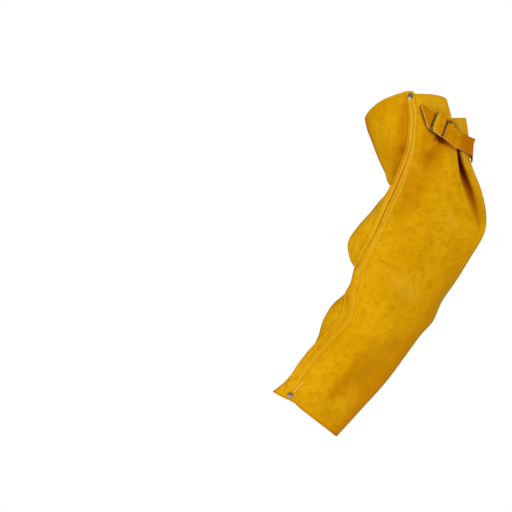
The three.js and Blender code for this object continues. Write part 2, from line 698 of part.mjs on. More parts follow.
let body = toSolid(sleeveGeometry());
for (const seat of RIVET_SEATS) {
  body = body.subtract(toSolid(rivetGeometry(seat.place, seat.outward, CLEAR)));
}
addPiece('sleeve_body', toGeometry(body), leather('#d79a06'));
for (const seat of RIVET_SEATS) {
  addPiece(seat.name, rivetGeometry(seat.place, seat.outward, 0), metal('#a79c88'));
}
addPiece('strap', strapGeometry(), leather('#c18304'));

const slideLoop = toSolid(wireLoop(slideFrame, SLIDE.pitch, SLIDE.bars / 2, SLIDE.corner));
const slideBar = toSolid(barGeometry(slideFrame, SLIDE.bars));
addPiece('slide_buckle', toGeometry(slideLoop.add(slideBar)), metal('#8d8474'));
addPiece('buckle_tab', tabGeometry(slideFrame, BUCKLE_TAB), leather('#c18304'));

const leaningFrame = leaned(nearBarFrame, RING.lean);
const ringFrame = slidAlong(leaningFrame, RING.pitch / 2);
ringFrame.place.addScaledVector(ringFrame.across, RING.sag);
const ringLoop = wireLoop(ringFrame, RING.pitch / 2, RING.bars / 2, RING.corner);
addPiece('strap_ring', ringLoop, metal('#8d8474'));
const farBarFrame = slidAlong(leaningFrame, RING.pitch);
addPiece('ring_tab', tabGeometry(farBarFrame, RING_TAB), leather('#c18304'));

export default sleeve;
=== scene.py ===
"""Looks of a leather welding sleeve: golden split hide with one long seam and a buckled strap.

The tables are in millimetres and Blender's meshes in metres. X runs to the outer side of the
bent arm, Y from the sleeve's front to its back and Z up. The origin is the middle of the
upper-arm opening.
"""
import logging
import math
from collections.abc import Sequence
from dataclasses import dataclass, field, replace
from enum import Enum
from typing import Any, ClassVar

import bpy
import numpy as np
from mathutils import Matrix, Vector, noise
from mathutils.bvhtree import BVHTree


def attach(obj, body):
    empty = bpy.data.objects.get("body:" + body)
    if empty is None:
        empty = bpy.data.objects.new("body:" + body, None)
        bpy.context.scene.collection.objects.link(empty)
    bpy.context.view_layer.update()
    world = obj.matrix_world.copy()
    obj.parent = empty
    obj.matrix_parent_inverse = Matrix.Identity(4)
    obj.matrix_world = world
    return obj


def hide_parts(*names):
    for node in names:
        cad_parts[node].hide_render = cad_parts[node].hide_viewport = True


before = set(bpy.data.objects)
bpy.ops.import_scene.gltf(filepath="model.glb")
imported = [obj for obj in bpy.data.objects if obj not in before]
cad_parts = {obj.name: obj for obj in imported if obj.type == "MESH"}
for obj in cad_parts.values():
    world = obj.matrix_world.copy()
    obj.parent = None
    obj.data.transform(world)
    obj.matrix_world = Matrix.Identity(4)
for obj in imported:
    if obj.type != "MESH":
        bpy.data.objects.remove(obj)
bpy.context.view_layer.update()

Array = np.ndarray
Piece = bpy.types.Object
Material = bpy.types.Material
Socket = bpy.types.NodeSocket
NodeTree = bpy.types.NodeTree
Colour = tuple[float, float, float, float]
Pair = tuple[float, float]
Triple = tuple[float, float, float]
Faces = list[list[int]]
MeshParts = tuple[Array, Faces]  # vertices and faces

LOG = logging.getLogger("welding_sleeve")
MM = 0.001
BODY = "root"

# Driving sizes of the leather and the metal

HIDE = 1.5  # thickness of the sleeve's split hide
ALLOWANCE = 9.5  # from the seam to the guide lines beside it
CLEAR = 0.3  # gap between pieces that touch
LENGTH = 542.0  # down the middle of the sleeve, from the opening to the cuff
WIRE = 2.5  # diameter of the buckle and ring wire
STRAP_WIDTH = 28.0
STRAP_HIDE = 2.0
TAB_HIDE = 1.3
TAB_WIDTH = 22.0
TOP_RIVET_AT = 4.6  # down the seam
CUFF_RIVET_AT = 534.0


# Choices


class SeamSide(Enum):
    """The side of the seam, as the sign of a distance from it."""

    INNER = 1
    OUTER = -1


class Skin(Enum):
    """The two sides of the hide, as the material places that their faces take."""

    OUTSIDE = 0
    INSIDE = 1


# Rows of the tables


@dataclass(frozen=True)
class Row:
    """A row at a distance down the sleeve. A sharp row is a crease in the table's curve."""

    at: float
    sharp: bool = field(default=False, kw_only=True)


@dataclass(frozen=True)
class SeamRow(Row):
    """A place on the seam, and how far in degrees the leather beside it turns to the back."""

    x: float
    z: float
    y: float
    turn: float


@dataclass(frozen=True)
class InnerRow(Row):
    """A place on the inner edge. belly is how far the panel beside it stands out, as a share of its width."""

    x: float
    z: float
    y: float
    belly: float
    rise: float = 0.0


@dataclass(frozen=True)
class OuterRow(Row):
    """A place on the outer edge, over the point of the elbow."""

    x: float
    z: float
    y: float


@dataclass(frozen=True)
class GirthRow(Row):
    """How far the front and the back stand out, and how much lower the back lies."""

    front: float
    back: float
    drop: float


@dataclass(frozen=True)
class PleatRow(Row):
    """The pleat that the strap draws up: its lip, its valley and the roll behind it."""

    lip_x: float
    lip_z: float
    lip_y: float
    valley_x: float
    valley_z: float
    valley_y: float
    roll_x: float
    roll_z: float
    roll_y: float
    share: float
    rise: float = 0.0
    dip: float = 0.0


@dataclass(frozen=True)
class SeamWorkRow(Row):
    """How far from the seam its two rows of topstitching run, and how open its groove is."""

    inner: float
    outer: float
    groove: float


@dataclass(frozen=True)
class Crease:
    """A dent or ridge along a line seen from the front; reach is its half-width."""

    x0: float
    z0: float
    x1: float
    z1: float
    height: float
    reach: float


@dataclass(frozen=True)
class ShadeRow:
    """A place on a line of shade seen from the front, with the shade's reach to each side."""

    x: float
    z: float
    depth: float
    left: float
    right: float


@dataclass(frozen=True)
class StrapRow:
    """A place on the strap's route, and the direction from its upper edge to its lower one."""

    place: Triple
    across: Triple


SEAM = (
    SeamRow(0, -5, 29.6, -42, 25),
    SeamRow(20, 1.1, -4.8, -48, 25),
    SeamRow(45, 0.8, -32, -51, 25),
    SeamRow(78, -3.2, -64, -51, 25),
    SeamRow(104, -11.2, -88, -48, 20),
    SeamRow(135, -25.6, -123.2, -43, 12),
    SeamRow(175, -41.6, -157.6, -44, 20),
    SeamRow(223, -62.4, -203.2, -46, 30),
    SeamRow(262, -84.8, -244, -40, 55),
    SeamRow(278, -92, -259.2, -36, 85),
    SeamRow(296, -96.8, -276.8, -33, 90),
    SeamRow(315, -101.9, -292.8, -32, 60),
    SeamRow(338, -102.1, -308.8, -34, 35),
    SeamRow(362, -105.6, -328, -36, 30),
    SeamRow(401, -128, -356.8, -35, 30),
    SeamRow(443, -158.4, -388.8, -31, 30),
    SeamRow(495, -184, -425.6, -25, 25),
    SeamRow(LENGTH, -197.4, -462.4, -19, 15),
)

INNER = (
    InnerRow(0, -75.2, -14.4, 16, 0.1, rise=7),
    InnerRow(20, -72, -28.8, 15, 0.12, rise=3),
    InnerRow(45, -63.2, -52.8, 13, 0.12),
    InnerRow(78, -52.8, -80, 12, 0.1),
    InnerRow(104, -43.2, -100.8, 11, 0.06),
    InnerRow(123, -35.6, -120, 10, 0),
    InnerRow(135, -24, -123.2, 14, -0.12, sharp=True),
    InnerRow(149, -43.6, -138.8, 6, 0),
    InnerRow(175, -67.8, -167.2, 2, 0.06),
    InnerRow(198, -88, -190.4, 0, 0.12),
    InnerRow(223, -102.4, -212.8, -2, 0.12),
    InnerRow(244, -100.8, -233.6, -2, 0.1),
    InnerRow(262, -94.4, -248, 0, 0.05),
    InnerRow(278, -82, -259.2, 5, -0.1, sharp=True),
    InnerRow(296, -86, -276.8, 5, -0.1, sharp=True),
    InnerRow(315, -105.6, -293.6, -2, 0.04),
    InnerRow(338, -125.6, -309.6, -4, 0.1),
    InnerRow(362, -140, -331.2, -5, 0.1),
    InnerRow(401, -152, -368, -6, 0.1),
    InnerRow(443, -168.4, -397.4, -6, 0.03),
    InnerRow(495, -196.8, -428.8, -6, 0.06),
    InnerRow(LENGTH, -222.4, -450.1, -8, 0.08),
)

OUTER = (
    OuterRow(0, 87.2, -13.6, 12),
    OuterRow(20, 90.4, -38.4, 10),
    OuterRow(45, 90, -64, 8),
    OuterRow(60, 93, -80, 7),
    OuterRow(78, 99.8, -99.2, 5),
    OuterRow(104, 111, -128.4, 2),
    OuterRow(135, 118.9, -164.8, -2),
    OuterRow(149, 119.2, -177.6, -3),
    OuterRow(175, 116.8, -194, -4),
    OuterRow(198, 110.6, -208.8, -5),
    OuterRow(223, 98, -229.2, -5),
    OuterRow(262, 72.6, -270.4, -5),
    OuterRow(296, 49.4, -304.2, -5),
    OuterRow(338, 31.8, -340.4, -5),
    OuterRow(362, 15.8, -358, -5),
    OuterRow(401, -8, -390.2, -4),
    OuterRow(443, -37.2, -429.8, -3),
    OuterRow(495, -78.6, -476.4, -2),
    OuterRow(LENGTH, -120.5, -522.4, 0),
)

GIRTH = (
    GirthRow(0, -46, 66, 30),
    GirthRow(45, -56, 64, 18),
    GirthRow(104, -61, 60, 6),
    GirthRow(135, -64, 57, 0),
    GirthRow(198, -66, 52, 0),
    GirthRow(278, -58, 46, 0),
    GirthRow(338, -54, 42, 0),
    GirthRow(443, -43, 32, 0),
    GirthRow(LENGTH, -28, 23, -9),
)

PLEAT = (
    PleatRow(0, 55.2, 16, -29, 48, -12, -12, 75, -13, -10, 1, rise=3, dip=6),
    PleatRow(20, 64, -16, -25, 57, -22, -7, 80, -33, -10, 1),
    PleatRow(45, 69, -44, -23, 64, -47, -8, 79, -55, -16, 1),
    PleatRow(78, 71.5, -80, -39, 72, -85, -18, 84.5, -90, -30, 1),
    PleatRow(104, 76, -113, -42, 84, -115, -27, 97, -121, -27, 1),
    PleatRow(135, 88, -152, -41, 97, -154, -30, 109, -160, -22, 0.8),
    PleatRow(165, 94, -180, -38, 103, -184, -30, 110, -187, -19, 0.4),
    PleatRow(200, 90, -200, -37, 97, -204, -29, 103, -206, -18, 0),
)

SEAM_WORK = (
    SeamWorkRow(0, 7.5, 6.6, 0.25),
    SeamWorkRow(20, 7.5, 4.8, 0.3),
    SeamWorkRow(45, 7.5, 4.4, 0.3),
    SeamWorkRow(78, 7.5, 6, 0.35),
    SeamWorkRow(104, 7.5, 9, 0.6),
    SeamWorkRow(135, 7, 11.2, 0.9),
    SeamWorkRow(210, 7, 11.6, 0.85),
    SeamWorkRow(262, 7, 11.8, 0.5),
    SeamWorkRow(338, 7.2, 11.2, 0.45),
    SeamWorkRow(401, 7.4, 10.5, 0.3),
    SeamWorkRow(443, 7.5, 10.4, 0.2),
    SeamWorkRow(LENGTH, 8, 9, 0.1),
)

# Large dents and ridges of the front: the pinch under the buckle, the hollow below it, the crease
# to the seam, the belly beside the pleat, the elbow's crease, and the forearm's ridge and dent
FOLDS = (
    Crease(32, -6, 48, -34, -6, 16),
    Crease(35, -60, 32, -108, -5, 13),
    Crease(37, -44, 7, -98, 1.6, 6),
    Crease(59, -80, 69, -144, 2, 13),
    Crease(-58, -238, -20, -256, -2, 7),
    Crease(36, -296, -84, -416, 3, 16),
    Crease(-4, -372, -122, -456, -3, 13),
)

# Painted shade: darker patches under and beside the buckle, along the seam, at the elbow and on the forearm
PAINTED_SHADE_PATCHES = (
    Crease(44, -56, 28, -70, 0.16, 11),
    Crease(57, -18.5, 62, -20, 1, 3),
    Crease(19, -48, 14, -80, 0.2, 8),
    Crease(38, -76, 38, -98, 0.24, 12),
    Crease(24, -74, 6, -118, 0.24, 10),
    Crease(12, -128, -20, -164, 0.28, 10),
    Crease(0, -99, -13, -138, 0.2, 7),
    Crease(-84, -200, -76, -212, 0.12, 8),
    Crease(-106, -302, -106, -312, 0.2, 6),
    Crease(-14, 3, -16, -64, 0.32, 9),
    Crease(-16, -64, -26, -100, 0.24, 8),
    Crease(-30, -64, -36, -112, 0.22, 13),
    Crease(-48, -86, -41, -112, 0.24, 6),
    Crease(-90, -236, -84, -250, 0.12, 8),
    Crease(-54, -240, -22, -255, 0.16, 4),
    Crease(-30, -424, -108, -504, 0.12, 14),
    Crease(-36, -372, -76, -440, 0.2, 16),
    Crease(-60, -376, -74, -392, 0.12, 9),
    Crease(6, -326, 12, -336, 0.12, 9),
    Crease(6, -150, 10, -160, 0.12, 9),
    Crease(-18, -194, -26, -204, 0.1, 11),
    Crease(-134, -480, -158, -470, 0.1, 15),
)

# The shade along the pleat, behind its lip
PLEAT_SHADE = (
    ShadeRow(72, -64, 1, 3, 2.2),
    ShadeRow(76, -83, 1, 5, 3),
    ShadeRow(80, -96, 0.96, 9, 4),
    ShadeRow(87, -113.6, 0.96, 12, 5),
    ShadeRow(92.8, -128, 0.9, 11, 6),
    ShadeRow(97.6, -144, 0.76, 9, 5.6),
    ShadeRow(101.6, -160, 0.6, 7, 5),
    ShadeRow(105, -176, 0.42, 5, 5),
    ShadeRow(107, -186, 0.32, 4, 5),
    ShadeRow(110, -196, 0.2, 3, 4),
    ShadeRow(112, -204, 0, 3, 3),
)

# The shade under the strap's lower edge, deepest under the slide
STRAP_SHADE = (
    ShadeRow(35, -47.5, 0.6, 5, 4),
    ShadeRow(39.5, -44.6, 1, 8, 6),
    ShadeRow(44.8, -48.4, 1, 8, 6),
    ShadeRow(49.6, -51.4, 0.95, 5.6, 4),
    ShadeRow(56, -55.4, 0.8, 4.2, 3.5),
    ShadeRow(64, -61, 0.7, 3, 3),
    ShadeRow(70, -64.5, 0.65, 2.6, 2.6),
)

# The shade behind the forearm's ridge, sharp on its upper side
FOREARM_SHADE = (
    ShadeRow(-80, -376, 0, 5, 24),
    ShadeRow(-86.4, -390.4, 0.2, 4.5, 26),
    ShadeRow(-99.2, -416, 0.28, 4, 28),
    ShadeRow(-112, -435.2, 0.28, 4, 24),
    ShadeRow(-128, -451.2, 0.2, 4, 18),
    ShadeRow(-140, -466, 0, 5, 12),
)

# Paler marks: thin crease lines below the buckle and at the elbow, partly rubbed pale and partly a painted
# highlight on their ridges, a scratch on the forearm, and broad painted light on the pleat's roll, along the
# top and on ridges down the arm
PALE_RUBS_AND_LIGHT = (
    Crease(33.6, -51.2, 24, -65.6, 0.6, 1.7),
    Crease(24, -65.6, 15.5, -76.8, 0.7, 1.8),
    Crease(-46, -239, -24, -247, 0.35, 1.6),
    Crease(-48, -140, -76, -180, 0.3, 7),
    Crease(60, -172, 73, -190, 0.3, 6),
    Crease(81, -60, 90, -86, 1, 8),
    Crease(66, -20, 82, -32, 0.8, 9),
    Crease(14, 6, 42, 2, 0.3, 8),
    Crease(-24, -280, 0, -296, 0.3, 14),
    Crease(-59, -400, -43, -391, 0.35, 1.1),
)

# Small creases of the front
FRONT_CREASES = (
    Crease(38, -42, 18, -72, 0.9, 3),
    Crease(44, -44, 30, -84, -1, 4),
    Crease(46, -46, 52, -88, -0.9, 5),
    Crease(-56, -240, -18, -257, 0.8, 3),
    Crease(-30, -140, -4, -168, -0.7, 6),
    Crease(-40, -166, -2, -196, 0.8, 6),
    Crease(-88, -232, -70, -226, -1, 4),
    Crease(-94, -222, -76, -212, 0.8, 4),
    Crease(-120, -322, -104, -334, -0.8, 4),
    Crease(-66, -36, -30, -60, 0.8, 8),
    Crease(-54, -66, -22, -92, -0.8, 7),
    Crease(86, -206, 40, -238, 0.9, 9),
    Crease(60, -262, 10, -300, -0.8, 8),
)

# Plain creases of the back
BACK_CREASES = (
    Crease(-20, -128, 40, -176, -3, 9),
    Crease(-34, -150, 20, -196, 2.2, 10),
    Crease(-70, -196, 16, -232, -2.2, 9),
    Crease(-84, -258, 0, -282, -2.4, 8),
    Crease(60, -110, 96, -176, 1.6, 10),
    Crease(-40, -40, 30, -96, 1.4, 14),
    Crease(-100, -330, -30, -372, -1.6, 9),
    Crease(-150, -396, -90, -436, 1.2, 9),
)

STRAP_ROUTE = (
    StrapRow((15.5, -62.5, -4.2), (-0.26, -0.42, -0.86)),
    StrapRow((33.6, -55, -18.2), (-0.26, -0.42, -0.86)),
    StrapRow((43, -50, -24.6), (-0.26, -0.42, -0.86)),
    StrapRow((52.4, -44.5, -31), (-0.25, -0.42, -0.87)),
    StrapRow((71.2, -30.8, -44), (-0.13, -0.42, -0.89)),
    StrapRow((86.5, -14.5, -54), (0, -0.28, -0.96)),
    StrapRow((95, 2, -60.5), (0.11, -0.12, -0.99)),
    StrapRow((95.6, 17, -64), (0.1, -0.08, -0.99)),
    StrapRow((88, 34, -67), (0.08, -0.08, -0.99)),
)
SLIDE_ROW = 2  # the row of the route at the slide's middle bar
RING_ROW = 6  # the row of the route at the ring's near bar


# Small helpers for numbers and meshes


def unit(vectors: Array) -> Array:
    """Scales the vectors on the last axis to length one."""
    return vectors / np.maximum(np.linalg.norm(vectors, axis=-1, keepdims=True), 1e-9)


def smoothstep(value: Array, low: float, high: float) -> Array:
    """Eases from 0 at low to 1 at high."""
    share = np.clip((value - low) / (high - low), 0, 1)
    return share * share * (3 - 2 * share)


def bump_at(value: Array, middle: Array | float, reach: Array | float) -> Array:
    """Gives a bell that is 1 at the middle and falls off over reach, its half-width."""
    return np.exp(-(((value - middle) / reach) ** 2))


@dataclass(frozen=True)
class Stretch:
    """A stretch of some measure, over which an effect sets in."""

    start: float
    end: float

    def share(self, value: Array) -> Array:
        """Gives 0 before the stretch, 1 after it and an eased share on it."""
        return smoothstep(value, self.start, self.end)


@dataclass(frozen=True)
class Bell:
    """An effect that is strongest at a middle and falls off over reach, its half-width."""

    level: float
    middle: float
    reach: float

    def share(self, value: Array) -> Array:
        """Gives the effect's strength."""
        return self.level * bump_at(value, self.middle, self.reach)


@dataclass(frozen=True)
class Fading:
    """A level that falls over one stretch, and perhaps again over another."""

    level: float
    fall: float
    over: Stretch
    next_fall: float = 0.0
    next_over: Stretch = Stretch(0, 1)

    def level_at(self, value: Array) -> Array:
        """Gives the level at values of the stretches' measure."""
        return self.level - self.fall * self.over.share(value) - self.next_fall * self.next_over.share(value)


def noise_field(points: Array, size: float, offset: float = 0.0) -> Array:
    """Reads a soft noise of about -1 to 1 at points, with size millimetres from blob to blob."""
    values = [noise.noise(Vector(place)) for place in (points.reshape(-1, 3) / size + offset).tolist()]
    return np.array(values).reshape(points.shape[:-1])


def mesh_piece(name: str, points: Array, faces: Faces, sharp_degrees: float = 180.0) -> Piece:
    """Makes a smooth-shaded mesh object.

    Args:
        name: The piece's name.
        points: Its vertices in millimetres.
        faces: Its polygons as vertex numbers.
        sharp_degrees: Edges that turn by more than this stay sharp.

    Returns:
        The new object, in the scene.
    """
    mesh = bpy.data.meshes.new(name)
    mesh.from_pydata((np.asarray(points).reshape(-1, 3) * MM).tolist(), [], faces)
    mesh.validate()
    mesh.shade_smooth()
    if sharp_degrees < 180:
        mesh.set_sharp_from_angle(angle=math.radians(sharp_degrees))
    piece = bpy.data.objects.new(name, mesh)
    bpy.context.scene.collection.objects.link(piece)
    return piece


def write_attribute(piece: Piece, name: str, values: Array) -> None:
    """Stores one number for each vertex, in order, for the piece's material."""
    attribute = piece.data.attributes.new(name=name, type="FLOAT", domain="POINT")
    attribute.data.foreach_set("value", np.asarray(values, dtype=np.float32).ravel())


def ring_angles(sides: int) -> Array:
    """Gives the angles of the points round a ring."""
    return np.arange(sides) * 2 * np.pi / sides


def ring_faces(rings: int, count: int, closed: bool) -> Faces:
    """Lists the quads between rings of vertices.

    Args:
        rings: Number of rings.
        count: Number of vertices in a ring.
        closed: True where the last ring joins the first.

    Returns:
        The quads as vertex numbers.
    """
    faces = []
    for ring in range(rings if closed else rings - 1):
        near, far = ring * count, (ring + 1) % rings * count
        for step in range(count):
            beside = (step + 1) % count
            faces.append([near + step, near + beside, far + beside, far + step])
    return faces


def capped_faces(rings: int, count: int) -> Faces:
    """Lists the quads between rings of vertices, with a cap on the first ring and on the last."""
    caps = [list(range(count))[::-1], list(range((rings - 1) * count, rings * count))]
    return ring_faces(rings, count, closed=False) + caps


def join_parts(parts: Sequence[MeshParts]) -> MeshParts:
    """Joins meshes to one.

    Args:
        parts: The vertices and faces of each mesh.

    Returns:
        The vertices and faces of them all.
    """
    faces: Faces = []
    offset = 0
    for vertices, polygons in parts:
        faces.extend([[number + offset for number in polygon] for polygon in polygons])
        offset += len(vertices)
    return np.vstack([vertices for vertices, _ in parts]), faces


def along_line(points: Array, closed: bool = False) -> Array:
    """Measures the distance along a line of points.

    Args:
        points: The line's points.
        closed: True to add the way back to the first point.

    Returns:
        The distance from the first point to each one.
    """
    line = np.vstack([points, points[:1]]) if closed else points
    steps = np.linalg.norm(np.diff(line, axis=0), axis=1)
    return np.concatenate([[0.0], np.cumsum(steps)])


def read_line(points: Array, distances: Array, wanted: Array) -> Array:
    """Reads points or directions, one row for each distance along a line, at the wanted distances."""
    return np.stack([np.interp(wanted, distances, column) for column in points.T], axis=1)


def spline_point(spans: Sequence[Array], share: Array) -> Array:
    """Reads spans of a smooth curve through points.

    Args:
        spans: The points before each span, at its start, at its end and after it.
        share: How far along the span, from 0 to 1, with a last axis of one.

    Returns:
        The points on the curve.
    """
    before, first, second, after = spans

    def knot(here: Array, there: Array) -> Array:
        """Gives the knot step between two points."""
        return np.maximum(np.sqrt(np.linalg.norm(there - here, axis=-1, keepdims=True)), 1e-4)

    coming, across, leaving = knot(before, first), knot(first, second), knot(second, after)
    chord = (second - first) / across
    start = ((first - before) / coming - (second - before) / (coming + across) + chord) * across
    end = (chord - (after - first) / (across + leaving) + (after - second) / leaving) * across
    bend = 3 * (second - first) - 2 * start - end
    twist = 2 * (first - second) + start + end
    return first + start * share + bend * share**2 + twist * share**3


def smooth_line(places: Array, per_span: int) -> tuple[Array, Array, Array]:
    """Draws a smooth line through places.

    Args:
        places: The places in order.
        per_span: Number of steps from one place to the next.

    Returns:
        The line's points, and for each one the number of the place before it and the share of
        the way to the next.
    """
    ends = np.vstack([2 * places[0] - places[1], places, 2 * places[-1] - places[-2]])
    steps = np.arange((len(places) - 1) * per_span + 1) / per_span
    start = np.minimum(steps.astype(int), len(places) - 2)
    share = (steps - start)[:, None]
    return spline_point([ends[start + step] for step in range(4)], share), start, share


# The sleeve's form


class Track:
    """A smooth curve through the rows of one table, read by the column's name."""

    def __init__(self, rows: Sequence[Any]) -> None:
        """Keeps the rows and where each one is.

        Args:
            rows: The table's rows.
        """
        self.rows = rows
        self.at = np.array([row.at for row in rows], dtype=float)
        self.sharp = np.array([row.sharp for row in rows])

    def read(self, column: str, at: Array) -> Array:
        """Reads one column.

        Args:
            column: The column's name.
            at: Distances down the sleeve; past the last row its value holds.

        Returns:
            The column's value at each distance.
        """
        values = np.array([getattr(row, column) for row in self.rows], dtype=float)
        gaps = np.diff(self.at)
        slopes = np.diff(values) / gaps
        leaving = np.append(slopes, slopes[-1])
        coming = np.insert(slopes, 0, slopes[0])
        lean = np.zeros(len(values))
        lean[1:-1] = gaps[:-1] / (gaps[:-1] + gaps[1:])
        smooth = coming * (1 - lean) + leaving * lean
        smooth[0], smooth[-1] = slopes[0], slopes[-1]
        leaving = np.where(self.sharp, leaving, smooth)
        coming = np.where(self.sharp, coming, smooth)
        end = np.clip(np.searchsorted(self.at, at, side="left"), 1, len(values) - 1)
        start = end - 1
        t = np.clip((at - self.at[start]) / gaps[start], 0, 1)
        return (
            (2 * t**3 - 3 * t**2 + 1) * values[start]
            + (3 * t**2 - 2 * t**3) * values[end]
            + gaps[start] * ((t**3 - 2 * t**2 + t) * leaving[start] + (t**3 - t**2) * coming[end])
        )

    def place(self, at: Array, prefix: str = "") -> Array:
        """Reads the X, Y and Z columns, whose names start with the prefix, at distances down the sleeve."""
        return np.stack([self.read(prefix + axis, at) for axis in "xyz"], axis=-1)


@dataclass(frozen=True)
class SleeveForm:
    """The form of the sleeve as it sits on the arm: sections from the seam round the arm and back to it."""

    crown: float = 0.36  # where the front panel stands furthest forward
    skew: float = 0.8  # draws its swell towards the seam
    taper: float = 1.15  # flattens both ends of the swell
    guides: int = 14
    inner_guide: int = 3
    outer_guide: int = 7
    folds: Stretch = Stretch(0.2, 1.6)  # guides away from an edge, over which the folds set in
    drawn: Stretch = Stretch(170, 280)  # where the pleat stops drawing the guides to the edge
    hem_dip: float = 2.4  # how far the seam's outer band dips to the cuff's straight edge
    hem_reach: float = 36.0
    seam: ClassVar[Track] = Track(SEAM)
    inner: ClassVar[Track] = Track(INNER)
    fair_inner: ClassVar[Track] = Track([row for row in INNER if not row.sharp])
    outer: ClassVar[Track] = Track(OUTER)
    girth: ClassVar[Track] = Track(GIRTH)
    pleat: ClassVar[Track] = Track(PLEAT)

    def inner_side(self, at: Array) -> Array:
        """Gives the direction square away from the seam to the inner side.

        Args:
            at: Distances down the sleeve.

        Returns:
            Unit vectors seen from the front, with no Y part.
        """
        span = 6.0
        before, after = np.maximum(0, at - span), np.minimum(LENGTH, at + span)
        run = self.seam.place(after) - self.seam.place(before)
        return unit(np.stack([run[:, 2], np.zeros(len(at)), -run[:, 0]], axis=-1))

    def front_arc(self, start: Array, end: Array, front: Array, share: Array | float) -> Array:
        """Gives points of the front panel between two guide lines.

        Args:
            start: Points on the first guide line.
            end: Points on the second one.
            front: How far forward the panel's crown stands.
            share: How far from the first line to the second.

        Returns:
            One point for each row.
        """
        share = np.broadcast_to(share, front.shape)

        def swell(q: Array | float) -> Array:
            """Gives the panel's swell at a share."""
            return np.maximum(np.sin(np.pi * np.power(q, self.skew)), 0) ** self.taper

        chord = start[:, 1] + (end[:, 1] - start[:, 1]) * self.crown
        point = start + (end - start) * share[:, None]
        point[:, 1] -= np.maximum(0, chord - front) * swell(share) / swell(self.crown)
        return point

    def guide_points(self, at: Array) -> Array:
        """Works out the guide points of each section.

        Args:
            at: Distances down the sleeve.

        Returns:
            Points by row and guide, from the seam over the inner edge, the back, the outer
            edge and the pleat to the seam again.
        """
        seam, inner, outer = self.seam.place(at), self.inner.place(at), self.outer.place(at)
        fair_inner, side = self.fair_inner.place(at), self.inner_side(at)
        turn = np.radians(self.seam.read("turn", at))[:, None]
        front = self.girth.read("front", at)
        toward_back = np.array([0.0, 1.0, 0.0])
        band_inner = seam + ALLOWANCE * (side * np.cos(turn) + toward_back * np.sin(turn))
        width = np.linalg.norm(inner - band_inner, axis=1)
        belly = (self.inner.read("belly", at) * width)[:, None]
        inner_panel = (band_inner + inner) / 2 + belly * (side - toward_back)
        inner_panel[:, 2] += self.inner.read("rise", at)

        def back(degrees: float) -> Array:
            """Works out one guide line of the back.

            Args:
                degrees: Its angle round from the inner edge.

            Returns:
                One point for each row.
            """
            depth, share = math.sin(math.radians(degrees)), (1 - math.cos(math.radians(degrees))) / 2
            point = fair_inner + (outer - fair_inner) * share
            point[:, 1] += (self.girth.read("back", at) - point[:, 1]) * depth
            point[:, 2] -= self.girth.read("drop", at) * depth
            return point

        lip = self.pleat.place(at, "lip_")
        pleated = self.pleat.read("share", at)[:, None]
        drawn = 1 - self.drawn.share(at)
        risen = np.outer(self.pleat.read("rise", at), (0.0, 0.0, 1.0))

        def towards(plain: float, edge: float, pleat_point: Array) -> Array:
            """Mixes the plain front with the pleat, whose guides are drawn to the outer edge."""
            arc = self.front_arc(seam, outer, front, plain + (edge - plain) * drawn)
            return arc + (pleat_point - arc) * pleated

        def towards_lip(plain: float, edge: float, share: float, lift: float) -> Array:
            """Gives the front between the seam and the pleat's lip."""
            return towards(plain, edge, self.front_arc(seam, lip, front, share) + risen * lift)

        reach = ALLOWANCE / np.linalg.norm(outer - seam, axis=1)
        band_outer = self.front_arc(seam, outer, front, reach)
        band_outer[:, 0::2] = (seam - side * ALLOWANCE)[:, 0::2]
        band_outer[:, 2] -= self.pleat.read("dip", at)
        band_outer[:, 2] -= self.hem_dip * smoothstep(at, LENGTH - self.hem_reach, LENGTH)
        return np.stack(
            [
                seam, band_inner, inner_panel, inner, back(45), back(90), back(135), outer,
                towards(0.86, 0.94, self.pleat.place(at, "roll_")),
                towards(0.74, 0.88, self.pleat.place(at, "valley_")),
                towards(0.62, 0.82, lip),
                towards_lip(0.44, 0.56, 0.68, 1),
                towards_lip(0.22, 0.28, 0.36, 0),
                band_outer,
            ],
            axis=1,
        )

    def points(self, at: Array, around: Array) -> Array:
        """Works out the plain skin with its large folds.

        Args:
            at: Distances down the sleeve.
            around: Places round each section, counted in guides.

        Returns:
            Points by row and column.
        """
        guides = self.guide_points(at)
        start = np.floor(around).astype(int)
        share = (around - start)[None, :, None]
        spans = [guides[:, (start + step) % self.guides] for step in (-1, 0, 1, 2)]
        skin = spline_point(spans, share)
        skin[:, :, 1] -= crease_height(skin, FOLDS) * self.front_share(around)[None, :]
        return skin

    def front_share(self, around: Array) -> Array:
        """Gives 1 on the front and 0 on the back, eased at the edges, for places counted in guides."""
        from_edge = np.where(around <= self.inner_guide, self.inner_guide - around, around - self.outer_guide)
        return self.folds.share(from_edge)

    def back_share(self, around: Array) -> Array:
        """Gives 1 on the back and 0 on the front, eased at the edges, for places counted in guides."""
        from_edge = np.minimum(around - self.inner_guide, self.outer_guide - around)
        return smoothstep(from_edge, 0.0, 1.0)


def beside_span(points: Array, start: Pair, end: Pair) -> tuple[Array, Array, Array]:
    """Measures points against a straight span, all seen from the front.

    Args:
        points: Places, with X, Y and Z on the last axis.
        start: X and Z of the span's start.
        end: X and Z of its end.

    Returns:
        For each point the share of the span at its nearest place, the distance to that place,
        and whether the point is on the span's left.
    """
    x, z = points[..., 0] - start[0], points[..., 2] - start[1]
    run, rise = end[0] - start[0], end[1] - start[1]
    along = np.clip((x * run + z * rise) / (run * run + rise * rise), 0, 1)
    return along, np.hypot(x - run * along, z - rise * along), x * rise > z * run


def crease_height(points: Array, creases: Sequence[Crease]) -> Array:
    """Adds up the heights of dents and ridges at points.

    Args:
        points: Places, with X, Y and Z on the last axis.
        creases: The dents and ridges.

    Returns:
        The height at each point.
    """
    height = np.zeros(points.shape[:-1])
    for crease in creases:
        _, away, _ = beside_span(points, (crease.x0, crease.z0), (crease.x1, crease.z1))
        height += crease.height * bump_at(away, 0.0, crease.reach)
    return height


